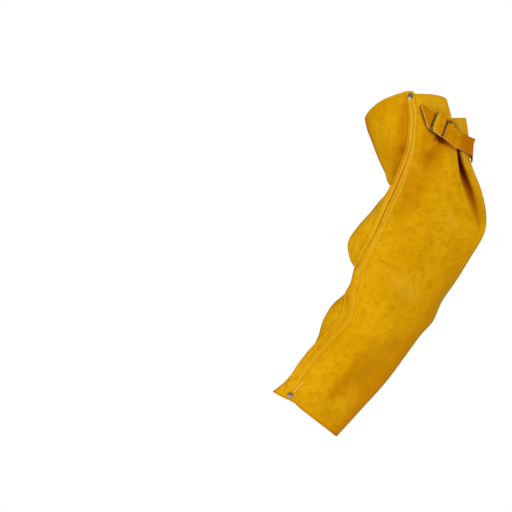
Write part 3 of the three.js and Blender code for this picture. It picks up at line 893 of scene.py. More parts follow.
def line_shade(points: Array, rows: Sequence[ShadeRow]) -> Array:
    """Works out the shade of one line at points.

    Args:
        points: Places, with X, Y and Z on the last axis.
        rows: The line's rows, from its upper end down.

    Returns:
        The shade at each point.
    """
    nearest = np.full(points.shape[:-1], np.inf)
    shade = np.zeros(points.shape[:-1])
    for start, end in zip(rows, rows[1:]):
        along, away, on_left = beside_span(points, (start.x, start.z), (end.x, end.z))
        depth, left, right = (
            getattr(start, name) + (getattr(end, name) - getattr(start, name)) * along
            for name in ("depth", "left", "right")
        )
        reach = np.where(on_left, left, right)
        shade = np.where(away < nearest, depth * bump_at(away, 0.0, reach), shade)
        nearest = np.minimum(nearest, away)
    return shade


def skin_normals(points: Array) -> Array:
    """Gives the outward directions of a skin of points by row and column, whose rows are closed."""
    around = np.roll(points, -1, axis=1) - np.roll(points, 1, axis=1)
    return unit(np.cross(around, np.gradient(points, axis=0)))


# Shader nodes


class NodeBoard:
    """Adds and joins the nodes of one material, world or node group."""

    def __init__(self, tree: NodeTree) -> None:
        """Keeps the tree and clears it."""
        self.tree = tree
        tree.nodes.clear()

    def feed(self, socket: Socket, value: Any) -> None:
        """Joins a socket to an output, or sets its value.

        Args:
            socket: The input socket.
            value: An output socket, or a plain value.
        """
        if isinstance(value, Socket):
            self.tree.links.new(value, socket)
        else:
            socket.default_value = value

    def add(self, kind: str, values: dict[Any, Any] | None = None, **settings: Any) -> bpy.types.Node:
        """Adds one node.

        Args:
            kind: Blender's name of the node.
            values: What its inputs get, by socket name or number.
            **settings: Settings of the node itself.

        Returns:
            The new node.
        """
        node = self.tree.nodes.new(kind)
        for name, value in settings.items():
            setattr(node, name, value)
        for name, value in (values or {}).items():
            self.feed(node.inputs[name], value)
        return node

    def math(self, operation: str, first: Any, second: Any = 0.0) -> Socket:
        """Adds a sum, product or other operation of two values and gives its output."""
        return self.add("ShaderNodeMath", {0: first, 1: second}, operation=operation).outputs[0]

    def mix(self, share: Any, first: Any, second: Any) -> Socket:
        """Adds a mix of two colours and gives its output."""
        return self.add("ShaderNodeMix", {0: share, 6: first, 7: second}, data_type="RGBA").outputs[2]

    def ease(self, value: Any, low: float, high: float, start: float = 0.0, end: float = 1.0) -> Socket:
        """Adds an eased step from start at low to end at high and gives its output."""
        ranges = {"Value": value, "From Min": low, "From Max": high, "To Min": start, "To Max": end}
        return self.add("ShaderNodeMapRange", ranges, interpolation_type="SMOOTHSTEP").outputs[0]

    def noise(self, vector: Any, scale: Any, detail: float = 3.0, roughness: float = 0.55) -> Socket:
        """Adds a soft noise of so many blobs in a metre and gives its value."""
        values = {"Vector": vector, "Scale": scale, "Detail": detail, "Roughness": roughness}
        return self.add("ShaderNodeTexNoise", values).outputs[0]

    def bump(self, height: Any, distance: float, strength: float) -> Socket:
        """Adds a relief of a height in metres and gives its normal."""
        values = {"Height": height, "Distance": distance, "Strength": strength}
        return self.add("ShaderNodeBump", values).outputs[0]

    def attribute(self, name: str) -> Socket:
        """Reads a number stored on the mesh."""
        return self.add("ShaderNodeAttribute", attribute_name=name).outputs["Fac"]

    def place(self) -> Socket:
        """Reads the place on the piece, in metres."""
        return self.add("ShaderNodeTexCoord").outputs["Object"]

    def group(self, tree: NodeTree, values: dict[str, Any]) -> bpy.types.NodeOutputs:
        """Places a node group with its own values and gives its outputs."""
        return self.add("ShaderNodeGroup", values, node_tree=tree).outputs


def new_group(
    name: str, inputs: dict[str, Any], outputs: Sequence[str]
) -> tuple[NodeBoard, dict[str, Socket], bpy.types.Node]:
    """Starts a shader node group with named sockets.

    Args:
        name: The group's name.
        inputs: The default of each input; a value of None makes a vector input.
        outputs: The names of its number outputs.

    Returns:
        The group's board, its input sockets by name, and its output node.
    """
    tree = bpy.data.node_groups.new(name, "ShaderNodeTree")
    for label, value in inputs.items():
        kind = "NodeSocketVector" if value is None else "NodeSocketFloat"
        socket = tree.interface.new_socket(name=label, in_out="INPUT", socket_type=kind)
        if value is not None:
            socket.default_value = value
    for label in outputs:
        tree.interface.new_socket(name=label, in_out="OUTPUT", socket_type="NodeSocketFloat")
    board = NodeBoard(tree)
    start, end = board.add("NodeGroupInput"), board.add("NodeGroupOutput")
    return board, {label: start.outputs[label] for label in inputs}, end


class SharedEffects:
    """The node groups that several finishes use."""

    def __init__(self) -> None:
        """Builds each group once."""
        self.nap = self._nap()
        self.mottle = self._mottle()
        self.raw_edge = self._raw_edge()
        self.scuffs = self._scuffs()

    @staticmethod
    def _nap() -> NodeTree:
        """Builds the brushed fibre of split leather: clumps, fibres and pores.

        Returns:
            A group with the fibre's height.
        """
        sizes = {"Place": None, "Fibres": 900.0, "Clumps": 240.0}
        board, given, end = new_group("split_nap", sizes, ["Height"])
        fibres = board.noise(given["Place"], given["Fibres"], 4.0, 0.7)
        clumps = board.noise(given["Place"], given["Clumps"], 3.0, 0.6)
        pores = board.add("ShaderNodeTexVoronoi", {"Vector": given["Place"], "Scale": given["Clumps"]})
        pits = board.ease(pores.outputs["Distance"], 0.05, 0.35)
        height = board.math("ADD", board.math("MULTIPLY", fibres, 0.45), board.math("MULTIPLY", clumps, 0.4))
        board.feed(end.inputs["Height"], board.math("ADD", height, board.math("MULTIPLY", pits, 0.15)))
        return board.tree

    @staticmethod
    def _mottle() -> NodeTree:
        """Builds the uneven dye of leather: broad clouds, rubbed patches and small flecks.

        Returns:
            A group with masks for clouds, rubbed patches and flecks.
        """
        sizes = {"Place": None, "Clouds": 16.0, "Flecks": 300.0}
        board, given, end = new_group("dye_mottle", sizes, ["Cloud", "Rubbed", "Fleck"])
        clouds = board.noise(given["Place"], given["Clouds"], 4.0, 0.6)
        board.feed(end.inputs["Cloud"], board.ease(clouds, 0.36, 0.66))
        patches = board.noise(given["Place"], board.math("MULTIPLY", given["Clouds"], 6.0), 5.0, 0.66)
        board.feed(end.inputs["Rubbed"], board.ease(patches, 0.42, 0.76))
        flecks = board.noise(given["Place"], given["Flecks"], 2.0, 0.5)
        board.feed(end.inputs["Fleck"], board.ease(flecks, 0.6, 0.78))
        return board.tree

    @staticmethod
    def _raw_edge() -> NodeTree:
        """Builds the paler, fibrous look of leather near a cut edge.

        Returns:
            A group with the edge's mask.
        """
        board, given, end = new_group("raw_edge", {"Place": None, "From Edge": 10.0, "Width": 1.5}, ["Mask"])
        ragged = board.math("MULTIPLY", board.noise(given["Place"], 420.0, 3.0, 0.6), given["Width"])
        inside = board.math("DIVIDE", board.math("ADD", given["From Edge"], ragged), given["Width"])
        board.feed(end.inputs["Mask"], board.ease(inside, 0.6, 1.6, 1.0, 0.0))
        return board.tree

    @staticmethod
    def _scuffs() -> NodeTree:
        """Builds the handling marks of plated metal: fine scratches and dull patches.

        Returns:
            A group with the scratches' height and the dull patches' mask.
        """
        board, given, end = new_group("plate_scuffs", {"Place": None, "Marks": 700.0}, ["Height", "Dull"])
        stretch = board.add("ShaderNodeMapping", {"Vector": given["Place"], "Scale": (1.0, 1.0, 6.0)})
        board.feed(end.inputs["Height"], board.noise(stretch.outputs[0], given["Marks"], 3.0, 0.6))
        patches = board.noise(given["Place"], board.math("MULTIPLY", given["Marks"], 0.4), 4.0, 0.65)
        board.feed(end.inputs["Dull"], board.ease(patches, 0.42, 0.66))
        return board.tree


def new_material(name: str, shown: Colour) -> tuple[Material, NodeBoard]:
    """Starts a node material.

    Args:
        name: The material's name.
        shown: Its plain colour in the viewport.

    Returns:
        The material and the board of its nodes.
    """
    material = bpy.data.materials.new(name)
    material.use_nodes = True
    material.diffuse_color = shown
    return material, NodeBoard(material.node_tree)


def finish_surface(board: NodeBoard, values: dict[str, Any]) -> None:
    """Adds the surface shader with its values, and the material's output."""
    shader = board.add("ShaderNodeBsdfPrincipled", values)
    board.add("ShaderNodeOutputMaterial", {"Surface": shader.outputs[0]})


@dataclass(frozen=True)
class SuedeFinish:
    """Golden split leather with a brushed nap."""

    name: str
    base: Colour
    pale: Colour
    deep: Colour
    dark: Colour
    edge: Colour
    # the colour of the painted sheen on grazing edges; the strap's paler one is a painted highlight
    painted_sheen: Colour = (0.44, 0.27, 0.02, 1)
    roughness: float = 0.86
    nap_depth: float = 0.00035
    fibres: float = 900.0
    edge_width: float = 1.4

    def material(self, effects: SharedEffects) -> Material:
        """Builds the finish.

        Args:
            effects: The shared node groups.

        Returns:
            The material.
        """
        material, board = new_material(self.name, self.base)
        place = board.place()
        mottle = board.group(effects.mottle, {"Place": place})
        nap = board.group(effects.nap, {"Place": place, "Fibres": self.fibres})
        cut = {"Place": place, "From Edge": board.attribute("from_edge"), "Width": self.edge_width}
        raw = board.group(effects.raw_edge, cut)
        clouded = board.mix(mottle["Cloud"], self.base, self.pale)
        rubbed = board.mix(board.math("MULTIPLY", mottle["Rubbed"], 0.6), clouded, self.deep)
        flecked = board.mix(board.math("MULTIPLY", mottle["Fleck"], 0.75), rubbed, self.pale)
        # rubbed pale marks and painted highlights both mix towards the pale edge colour
        worn_and_highlit = board.mix(board.attribute("worn_and_highlit"), flecked, self.edge)
        # painted shade: up to half of it darkens the leather towards deep, the rest towards dark
        painted_shade = board.math("MULTIPLY", board.attribute("painted_shade"), 2.0)
        shaded = board.mix(painted_shade, worn_and_highlit, self.deep)
        sunk = board.mix(board.math("SUBTRACT", painted_shade, 1.0), shaded, self.dark)
        # painted sheen: a greyed tone on the sleeve's outer edge and a highlight on the strap's hump
        sheened = board.mix(board.attribute("painted_sheen"), sunk, self.painted_sheen)
        edged = board.mix(board.math("MULTIPLY", raw["Mask"], 0.7), sheened, self.edge)
        rough = board.ease(nap["Height"], 0.2, 0.8, self.roughness - 0.06, self.roughness + 0.1)
        relief = board.bump(nap["Height"], self.nap_depth, 0.6)
        surface = {"Base Color": edged, "Roughness": rough, "Normal": relief, "Specular IOR Level": 0.03}
        finish_surface(board, surface)
        return material


@dataclass(frozen=True)
class ThreadFinish:
    """Waxed sewing thread with the twist of its strands."""

    name: str
    base: Colour
    dark: Colour
    roughness: float = 0.6

    def material(self, effects: SharedEffects) -> Material:
        """Builds the finish.

        Args:
            effects: The shared node groups.

        Returns:
            The material.
        """
        material, board = new_material(self.name, self.base)
        place = board.place()
        mottle = board.group(effects.mottle, {"Place": place, "Clouds": 60.0})
        strands = {"Vector": place, "Scale": 500.0, "Distortion": 2.0}
        twist = board.add("ShaderNodeTexWave", strands, bands_direction="DIAGONAL")
        colour = board.mix(board.math("MULTIPLY", mottle["Cloud"], 0.7), self.base, self.dark)
        relief = board.bump(twist.outputs[1], 0.0002, 0.5)
        surface = {"Base Color": colour, "Normal": relief, "Specular IOR Level": 0.03}
        finish_surface(board, {**surface, "Roughness": self.roughness})
        return material


@dataclass(frozen=True)
class PlatedFinish:
    """Nickel-plated steel with handling marks."""

    name: str
    base: Colour
    dull: Colour
    roughness: float = 0.28

    def material(self, effects: SharedEffects) -> Material:
        """Builds the finish.

        Args:
            effects: The shared node groups.

        Returns:
            The material.
        """
        material, board = new_material(self.name, self.base)
        scuffs = board.group(effects.scuffs, {"Place": board.place()})
        colour = board.mix(scuffs["Dull"], self.base, self.dull)
        rough = board.ease(scuffs["Dull"], 0.0, 1.0, self.roughness, self.roughness + 0.25)
        relief = board.bump(scuffs["Height"], 0.0001, 0.25)
        surface = {"Base Color": colour, "Metallic": 1.0, "Roughness": rough, "Normal": relief}
        finish_surface(board, surface)
        return material


@dataclass(frozen=True)
class Finishes:
    """The materials of every piece."""

    outside: Material
    inside: Material
    strap: Material
    thread: Material
    loose_thread: Material
    rivet: Material
    wire: Material


def make_finishes() -> Finishes:
    """Builds every material.

    Returns:
        The materials.
    """
    effects = SharedEffects()
    outside = SuedeFinish(
        "golden_split_outside",
        base=(0.61, 0.295, 0.0006, 1),
        pale=(0.69, 0.36, 0.004, 1),
        deep=(0.46, 0.165, 0.0005, 1),
        dark=(0.15, 0.012, 0.0005, 1),
        edge=(0.74, 0.43, 0.03, 1),
    )
    inside = SuedeFinish(
        "golden_split_inside",
        base=(0.6, 0.29, 0.012, 1),
        pale=(0.66, 0.36, 0.03, 1),
        deep=(0.45, 0.17, 0.003, 1),
        dark=(0.1, 0.02, 0.001, 1),
        edge=(0.7, 0.42, 0.06, 1),
        nap_depth=0.0006,
        fibres=600.0,
    )
    strap = SuedeFinish(
        "golden_strap",
        base=(0.66, 0.29, 0.0006, 1),
        pale=(0.7, 0.33, 0.002, 1),
        deep=(0.47, 0.15, 0.0005, 1),
        dark=(0.07, 0.013, 0.0005, 1),
        edge=(0.8, 0.5, 0.16, 1),
        painted_sheen=(0.7, 0.43, 0.006, 1),
        roughness=0.75,
        nap_depth=0.0002,
        fibres=1200.0,
        edge_width=0.8,
    )
    thread = ThreadFinish("waxed_thread", (0.92, 0.6, 0.012, 1), (0.82, 0.48, 0.006, 1))
    loose_thread = ThreadFinish("loose_thread", (1.0, 0.62, 0.09, 1), (0.9, 0.52, 0.05, 1))
    rivet = PlatedFinish("rivet_plate", (0.66, 0.58, 0.47, 1), (0.3, 0.23, 0.16, 1), 0.2)
    wire = PlatedFinish("wire_plate", (0.46, 0.36, 0.28, 1), (0.25, 0.18, 0.13, 1), 0.32)
    every = (outside, inside, strap, thread, loose_thread, rivet, wire)
    return Finishes(*(finish.material(effects) for finish in every))


def settle(piece: Piece, node: str | None, material: Material | None = None) -> None:
    """Dresses a piece, ties it to the frame and reports it.

    Args:
        piece: The finished piece.
        node: The frame's node that it stands for, if any.
        material: The piece's material, unless it is dressed already.
    """
    if material:
        piece.data.materials.append(material)
    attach(piece, BODY)
    if node:
        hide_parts(node)
    LOG.info("%s: %d faces", piece.name, len(piece.data.polygons))


# The sleeve's body


@dataclass
class SleeveBody:
    """The hide of the sleeve: a tube-shaped wall with a pressed-open seam down its front."""

    form: SleeveForm
    finishes: Finishes
    row_step: float = 2.7
    columns: tuple[int, ...] = (12, 16, 12, 12, 14, 14, 12, 12, 14, 14, 14, 14, 18, 12)
    seam_warp: float = 1.4  # gathers columns at the seam and at the band's edges
    band_edge: float = 0.8  # from a stitch row to where the band starts to fall
    band_foot: float = 3.6  # where it meets the plain hide
    band_lift: float = 1.2
    stitch_pull: float = 0.5  # how deep the thread pulls the hide in
    pull_reach: float = 0.9
    pillow: float = 0.35  # how far the hide swells between the seam and a stitch row
    pillow_reach: float = 2.6
    groove_depth: float = 1.3
    groove_reach: float = 0.7
    pressed: Stretch = Stretch(6.2, 9.2)  # from a rivet, within which the seam is pressed flat
    press_depth: float = 0.2
    front_slack: float = 0.35  # how uneven the front is, as a share of the back
    waves: Pair = (0.7, 48.0)  # height and size of the hide's unevenness
    ripples: Pair = (0.22, 15.0)
    plain_from: Stretch = Stretch(4, 16)  # from the seam, where creases set in
    edge_round: float = 0.55  # how far a cut edge bulges

    def __post_init__(self) -> None:
        """Works out the outer skin."""
        self.at = self._levels()
        self.around = self._places_around()
        plain = self.form.points(self.at, self.around)
        self.from_seam = self._seam_distance(plain)
        work = Track(SEAM_WORK)
        inner, outer = work.read("inner", self.at)[:, None], work.read("outer", self.at)[:, None]
        self.stitch = np.where(self.from_seam > 0, inner, outer)
        away = np.abs(self.from_seam)
        self.band = self.band_lift * (1 - smoothstep(away - self.stitch, self.band_edge, self.band_foot))
        lift = self._seam_relief() + self._crease_relief(plain)
        self.skin = plain + skin_normals(plain) * lift[..., None]
        self.normals = skin_normals(self.skin)

    def _levels(self) -> Array:
        """Spaces the rows down the sleeve, with a row at each sharp crease.

        Returns:
            The rows' distances down the sleeve.
        """
        stops = [0.0, *(row.at for row in INNER if row.sharp), LENGTH]
        levels = [np.zeros(1)]
        for start, end in zip(stops, stops[1:]):
            steps = round((end - start) / self.row_step)
            levels.append(np.linspace(start, end, steps + 1)[1:])
        return np.concatenate(levels)

    def _places_around(self) -> Array:
        """Spaces the columns round a section, gathered at the seam and its band.

        Returns:
            The columns' places, counted in guides.
        """
        last = len(self.columns) - 1
        gathered_at_start = {0, 1}
        gathered_at_end = {last - 1, last}
        places = []
        for guide, count in enumerate(self.columns):
            share = np.arange(count) / count
            if guide in gathered_at_start:
                share = share**self.seam_warp
            if guide in gathered_at_end:
                share = 1 - (1 - share) ** self.seam_warp
            places.append(guide + share)
        return np.concatenate(places)

    @staticmethod
    def _seam_distance(plain: Array) -> Array:
        """Measures each point's way round from the seam.

        Args:
            plain: The plain skin.

        Returns:
            Millimetres by row and column, positive on the inner side of the seam.
        """
        steps = np.linalg.norm(np.roll(plain, -1, axis=1) - plain, axis=2)
        way = np.cumsum(steps, axis=1) - steps
        girth = steps.sum(axis=1, keepdims=True)
        return np.where(way < girth / 2, way, way - girth)

    def _seam_relief(self) -> Array:
        """Works out the band with its stitch rows, and the groove where the panels meet.

        Returns:
            Heights by row and column.
        """
        away = np.abs(self.from_seam)
        band = self.band - self.stitch_pull * bump_at(away, self.stitch, self.pull_reach)
        rivets = np.array([TOP_RIVET_AT, CUFF_RIVET_AT])[:, None]
        from_rivet = np.hypot(np.abs(self.at[None, :] - rivets).min(axis=0)[:, None], away)
        pressed = 1 - self.pressed.share(from_rivet)
        groove = self.groove_depth * self.open_groove() * bump_at(away, 0.0, self.groove_reach)
        pillow = self.pillow * bump_at(away, self.stitch / 2, self.pillow_reach)
        return (band + pillow - groove) * (1 - pressed) - self.press_depth * pressed

    def open_groove(self) -> Array:
        """Tells how open the groove is, by row."""
        return Track(SEAM_WORK).read("groove", self.at)[:, None]

    def _crease_relief(self, plain: Array) -> Array:
        """Works out the small creases and the hide's unevenness.

        Args:
            plain: The plain skin.

        Returns:
            Heights by row and column.
        """
        front = crease_height(plain, FRONT_CREASES)
        back = crease_height(plain, BACK_CREASES)
        height = front * self.form.front_share(self.around) + back * self.form.back_share(self.around)
        slack = self.front_slack + (1 - self.front_slack) * self.form.back_share(self.around)
        (wave, wave_size), (ripple, ripple_size) = self.waves, self.ripples
        unlike = 7.3  # moves the ripples' pattern away from the waves'
        uneven = wave * noise_field(plain, wave_size) + ripple * noise_field(plain, ripple_size, unlike)
        height += slack * uneven
        return height * self.plain_from.share(np.abs(self.from_seam))

    def stitch_line(self, side: SeamSide) -> tuple[Array, Array]:
        """Reads the skin along a row of topstitching.

        Args:
            side: The side of the seam that the row is on.

        Returns:
            The line's points and the skin's outward directions, one for each row.
        """
        distance = Track(SEAM_WORK).read(side.name.lower(), self.at) * side.value
        order = np.argsort(self.from_seam, axis=1)
        points, normals = [], []
        for row, columns in enumerate(order):
            ways = self.from_seam[row, columns]
            wanted = distance[row : row + 1]
            points.append(read_line(self.skin[row, columns], ways, wanted)[0])
            normals.append(read_line(self.normals[row, columns], ways, wanted)[0])
        return np.array(points), unit(np.array(normals))

    def _inner_skin(self) -> Array:
        """Works out the inside of the wall, which is double along the seam's allowances.

        Returns:
            Points by row and column.
        """
        normals, smoothing = self.normals, 2
        for _ in range(smoothing):
            normals = unit(normals + np.roll(normals, 1, axis=1) + np.roll(normals, -1, axis=1))
        away = np.abs(self.from_seam)
        wall = HIDE + self.band + HIDE * (1 - smoothstep(away, ALLOWANCE, ALLOWANCE + 1.0))
        return self.skin - normals * wall[..., None]

    def _edge_rows(self, outer: Array, inner: Array, leaving: Array) -> list[Array]:
        """Rounds a cut edge from the outer skin to the inner one.

        Args:
            outer: The outer skin's last row.
            inner: The inner skin's last row.
            leaving: The direction in which the hide ends.

        Returns:
            The rows between the two skins.
        """
        shares = (0.2, 0.5, 0.8)
        bulge = [math.sin(math.pi * share) * self.edge_round for share in shares]
        return [outer + (inner - outer) * share + leaving * out for share, out in zip(shares, bulge)]

    def build(self) -> Piece:
        """Builds the hide as one closed wall.

        Returns:
            The piece.
        """
        inside = self._inner_skin()
        top = self._edge_rows(self.skin[0], inside[0], unit(self.skin[0] - self.skin[1]))
        cuff = self._edge_rows(self.skin[-1], inside[-1], unit(self.skin[-1] - self.skin[-2]))
        points = np.array([*self.skin, *cuff, *inside[::-1], *top[::-1]])
        count, columns = points.shape[:2]
        piece = mesh_piece("sleeve_leather", points, ring_faces(count, columns, closed=True))
        piece.data.materials.append(self.finishes.outside)
        piece.data.materials.append(self.finishes.inside)
        ring_of_face = np.repeat(np.arange(count), columns)
        first_inside = len(self.at) + len(cuff)
        inner_face = (ring_of_face >= first_inside) & (ring_of_face < first_inside + len(self.at) - 1)
        skins = np.where(inner_face, Skin.INSIDE.value, Skin.OUTSIDE.value).astype(np.int32)
        piece.data.polygons.foreach_set("material_index", skins)
        SleeveWearAndPaintedLight(self).write(piece, len(cuff))
        settle(piece, "sleeve_body")
        return piece


@dataclass(frozen=True)
class SleeveWearAndPaintedLight:
    """What the sleeve's finish reads from its skin: raw edges, rubbed ridges with painted highlights, painted
    sheen on the outer edge, and painted shade in folds and along edges.

    Bells and stretches are measured from the seam, down the sleeve, or round it in guides.
    """

    body: SleeveBody
    raw_ridge: Triple = (0.55, 2.0, 3.0)  # least, where, and how much more at a closed groove
    cuff_raw: float = 1.2  # how much less raw the cuff's edge is than the top
    inside_shade: float = 0.3  # the folds' shade on the inside, as a share
    seam_ridge: Bell = Bell(0.5, 3.4, 1.2)
    ridge_gain: float = 0.6  # how much more it is rubbed near the top
    ridge_top: Stretch = Stretch(40, 100)
    ridge_end: Stretch = Stretch(120, 200)
    outer_highlight: Bell = Bell(0.6, -1.3, 0.9)  # painted highlight on the ridge beside the outer stitch row, measured from that row
    outer_from: Stretch = Stretch(60, 110)
    band_rub: Fading = Fading(0.3, 0.14, Stretch(110, 190), 0.08, Stretch(250, 340))
    edge_sheen: Bell = Bell(0.8, 0.12, 0.3)  # painted sheen along the outer edge, measured from it
    sheen_from: Stretch = Stretch(190, 240)
    sheen_fades: Fading = Fading(1.0, 0.5, Stretch(330, 420))
    groove_shade: Bell = Bell(0.5, 0, 1)
    band_shade: tuple[Bell, Bell] = (Bell(0.08, -1.5, 0.8), Bell(0.14, 2.6, 1.6))  # from a stitch row
    outer_row: float = 0.26  # shade of the stitch rows
    inner_row: Fading = Fading(0.66, 0.4, Stretch(40, 75), 0.18, Stretch(110, 160))
    row_reach: float = 0.9
    pit: float = 0.4  # shade of the pleat's valley under the strap
    pit_from: Stretch = Stretch(25, 50)
    pit_to: Stretch = Stretch(70, 110)
    pit_side: Stretch = Stretch(8.6, 9)  # in guides
    lip_side: Stretch = Stretch(9.75, 10)
    outer_edge: Bell = Bell(0.42, 0.25, 0.7)  # edges and rims are in guides
    outer_edge_from: Stretch = Stretch(170, 300)
    inner_edge: Bell = Bell(0.34, -0.05, 0.4)
    inner_edge_to: Stretch = Stretch(95, 130)
    inner_edge_from: Stretch = Stretch(380, 440)
    inner_rim: Bell = Bell(0.3, -0.05, 0.16)
    outer_rim: Bell = Bell(0.3, 0.05, 0.16)
    cuff_shade: Bell = Bell(0.4, LENGTH, 2.5)

    def write(self, piece: Piece, edge_rows: int) -> None:
        """Stores the way to a cut edge, the painted shade, the rubbed pale marks with painted highlights, and
        the painted sheen.

        Args:
            piece: The hide.
            edge_rows: Number of rows round each cut edge.
        """
        body = self.body
        blank = np.zeros((1, len(body.around)))
        to_edge = np.minimum(body.at, LENGTH - body.at + self.cuff_raw)[:, None] + blank
        least, place, closing = self.raw_ridge
        ridge = least + np.abs(np.abs(body.from_seam) - place) + closing * (1 - body.open_groove())
        painted_shade = self._painted_shade()
        plain = np.zeros(to_edge.shape)
        looks = {
            "from_edge": (np.minimum(to_edge, ridge), to_edge),
            "painted_shade": (painted_shade, painted_shade * self.inside_shade),
            "worn_and_highlit": (self._worn_and_highlit(), plain),
            "painted_sheen": (self._painted_sheen(), plain),
        }
        for name, (outside, inside) in looks.items():
            rings = [outside, *[blank] * edge_rows, inside[::-1], *[blank] * edge_rows]
            write_attribute(piece, name, np.vstack(rings))

    def _worn_and_highlit(self) -> Array:
        """Tells how rubbed pale the skin is: on the seam's band, most on its ridges, and on creases, with
        painted highlights beside the outer stitch row and on lit creases and bulges.

        Returns:
            Shares from 0 to 1 by row and column.
        """
        body, at = self.body, self.body.at[:, None]
        near_top = 1 + self.ridge_gain * (1 - self.ridge_top.share(at))
        ridge = self.seam_ridge.share(np.abs(body.from_seam))
        ridge = ridge * (near_top * (1 - self.ridge_end.share(at)))
        beside = bump_at(-body.from_seam, body.stitch + self.outer_highlight.middle, self.outer_highlight.reach)
        outer_highlight = np.where(body.from_seam < 0, beside, 0.0)
        ridge = ridge + self.outer_highlight.level * self.outer_from.share(at) * outer_highlight
        # pale rubs together with painted light on lit creases and bulges
        pale_rubs_and_light = crease_height(body.skin, PALE_RUBS_AND_LIGHT) * body.form.front_share(body.around)
        band = self.band_rub.level_at(at) * body.band / body.band_lift
        return np.clip(band + ridge + pale_rubs_and_light, 0, 1)

    def _painted_sheen(self) -> Array:
        """Tells how much painted sheen the skin gets, which shows along the forearm's outer edge.

        Returns:
            Shares from 0 to 1 by row and column.
        """
        at, edge = self.body.at[:, None], self.edge_sheen
        down = self.sheen_from.share(at) * self.sheen_fades.level_at(at)
        from_edge = bump_at(self.body.around, self.body.form.outer_guide + edge.middle, edge.reach)
        return edge.level * down * from_edge

    def _painted_shade(self) -> Array:
        """Tells, by row and column, how much painted shade the skin gets in its folds and grooves and along
        its edges.
        """
        return np.clip(self._seam_shade() + self._fold_shade() + self._edge_shade(), 0, 1)

    def _seam_shade(self) -> Array:
        """Works out the shade in the seam's groove and along its stitch rows.

        Returns:
            Shade by row and column.
        """
        body = self.body
        away = np.abs(body.from_seam)
        shade = self.groove_shade.share(away) * body.open_groove()
        for bell in self.band_shade:
            shade += bell.level * bump_at(away, body.stitch + bell.middle, bell.reach)
        row = np.where(body.from_seam > 0, self.inner_row.level_at(body.at)[:, None], self.outer_row)
        return shade + row * bump_at(away, body.stitch, self.row_reach)

    def _fold_shade(self) -> Array:
        """Works out the shade in the folds and in the pleat behind its lip.

        Returns:
            Shade by row and column.
        """
        body, at, around = self.body, self.body.at[:, None], self.body.around
        on_front = body.form.front_share(around)
        # painted shade patches, with the painted shade under the strap's lower edge and behind the forearm's
        # ridge
        shade_patches = crease_height(body.skin, PAINTED_SHADE_PATCHES)
        shade_patches += line_shade(body.skin, STRAP_SHADE) + line_shade(body.skin, FOREARM_SHADE)
        pleated = body.form.pleat.read("share", at)
        pit = pleated * self.pit_side.share(around) * (self.pit_from.share(at) - self.pit_to.share(at))
        behind_lip = 1 - self.lip_side.share(around)
        valley = (self.pit * pit + line_shade(body.skin, PLEAT_SHADE) * on_front) * behind_lip
        return shade_patches * on_front + valley

    def _edge_shade(self) -> Array:
        """Works out the shade along the outer edge, the inner edge and the cuff.

        Returns:
            Shade by row and column.
        """
        at, form = self.body.at[:, None], self.body.form
        from_outer, from_inner = self.body.around - form.outer_guide, self.body.around - form.inner_guide
        outer_edge = self.outer_edge.share(from_outer) * self.outer_edge_from.share(at)
        ends = (1 - self.inner_edge_to.share(at)) + self.inner_edge_from.share(at)
        inner_edge = ends * self.inner_edge.share(from_inner)
        rims = self.inner_rim.share(from_inner) + self.outer_rim.share(from_outer)
        return outer_edge + inner_edge + rims + self.cuff_shade.share(at)


# Stitches and loose thread


@dataclass(frozen=True)
class Stitching:
    """A run of lock stitches along a line on a skin."""

    name: str
    pitch: float = 4.6
    length: float = 3.0
    thread: float = 1.15
    first: float = 0.7  # the first stitch's middle, in stitches from the line's start
    sides: int = 8

    def row(self, points: Array, normals: Array) -> MeshParts:
        """Makes the stitches of one line.

        Args:
            points: The line's points.
            normals: The skin's outward direction at each one.

        Returns:
            Vertices and faces.
        """
        profile = ((-0.5, -0.7), (-0.42, 0.05), (-0.2, 0.36), (0.2, 0.36), (0.42, 0.05), (0.5, -0.7))
        distances = along_line(points)
        count = int((distances[-1] - self.length) // self.pitch)
        heights = np.array([height for _, height in profile])[:, None]
        parts = []
        for stitch in range(count):
            middle = self.length * self.first + stitch * self.pitch
            wanted = np.array([middle + share * self.length for share, _ in profile])
            out = unit(read_line(normals, distances, wanted))
            line = read_line(points, distances, wanted) + out * heights * self.thread
            parts.append(tube_mesh(line, out, self.thread / 2, self.sides, closed=False))
        return join_parts(parts)


def tube_mesh(line: Array, out: Array, radius: float, sides: int, closed: bool) -> MeshParts:
    """Makes a round tube along a line.

    Args:
        line: The tube's middle line.
        out: A direction for each point that isn't along the line.
        radius: The tube's radius.
        sides: Facets round it.
        closed: True where the line's end joins its start; otherwise the ends are capped.

    Returns:
        Vertices and faces.
    """
    if closed:
        run = unit(np.roll(line, -1, axis=0) - np.roll(line, 1, axis=0))
    else:
        run = unit(np.gradient(line, axis=0))
    across = unit(np.cross(run, out))
    upward = np.cross(across, run)
    angles = ring_angles(sides)[None, :, None]
    rings = line[:, None] + radius * (across[:, None] * np.cos(angles) + upward[:, None] * np.sin(angles))
    faces = ring_faces(len(line), sides, closed=True) if closed else capped_faces(len(line), sides)
    return rings.reshape(-1, 3), [face[::-1] for face in faces]


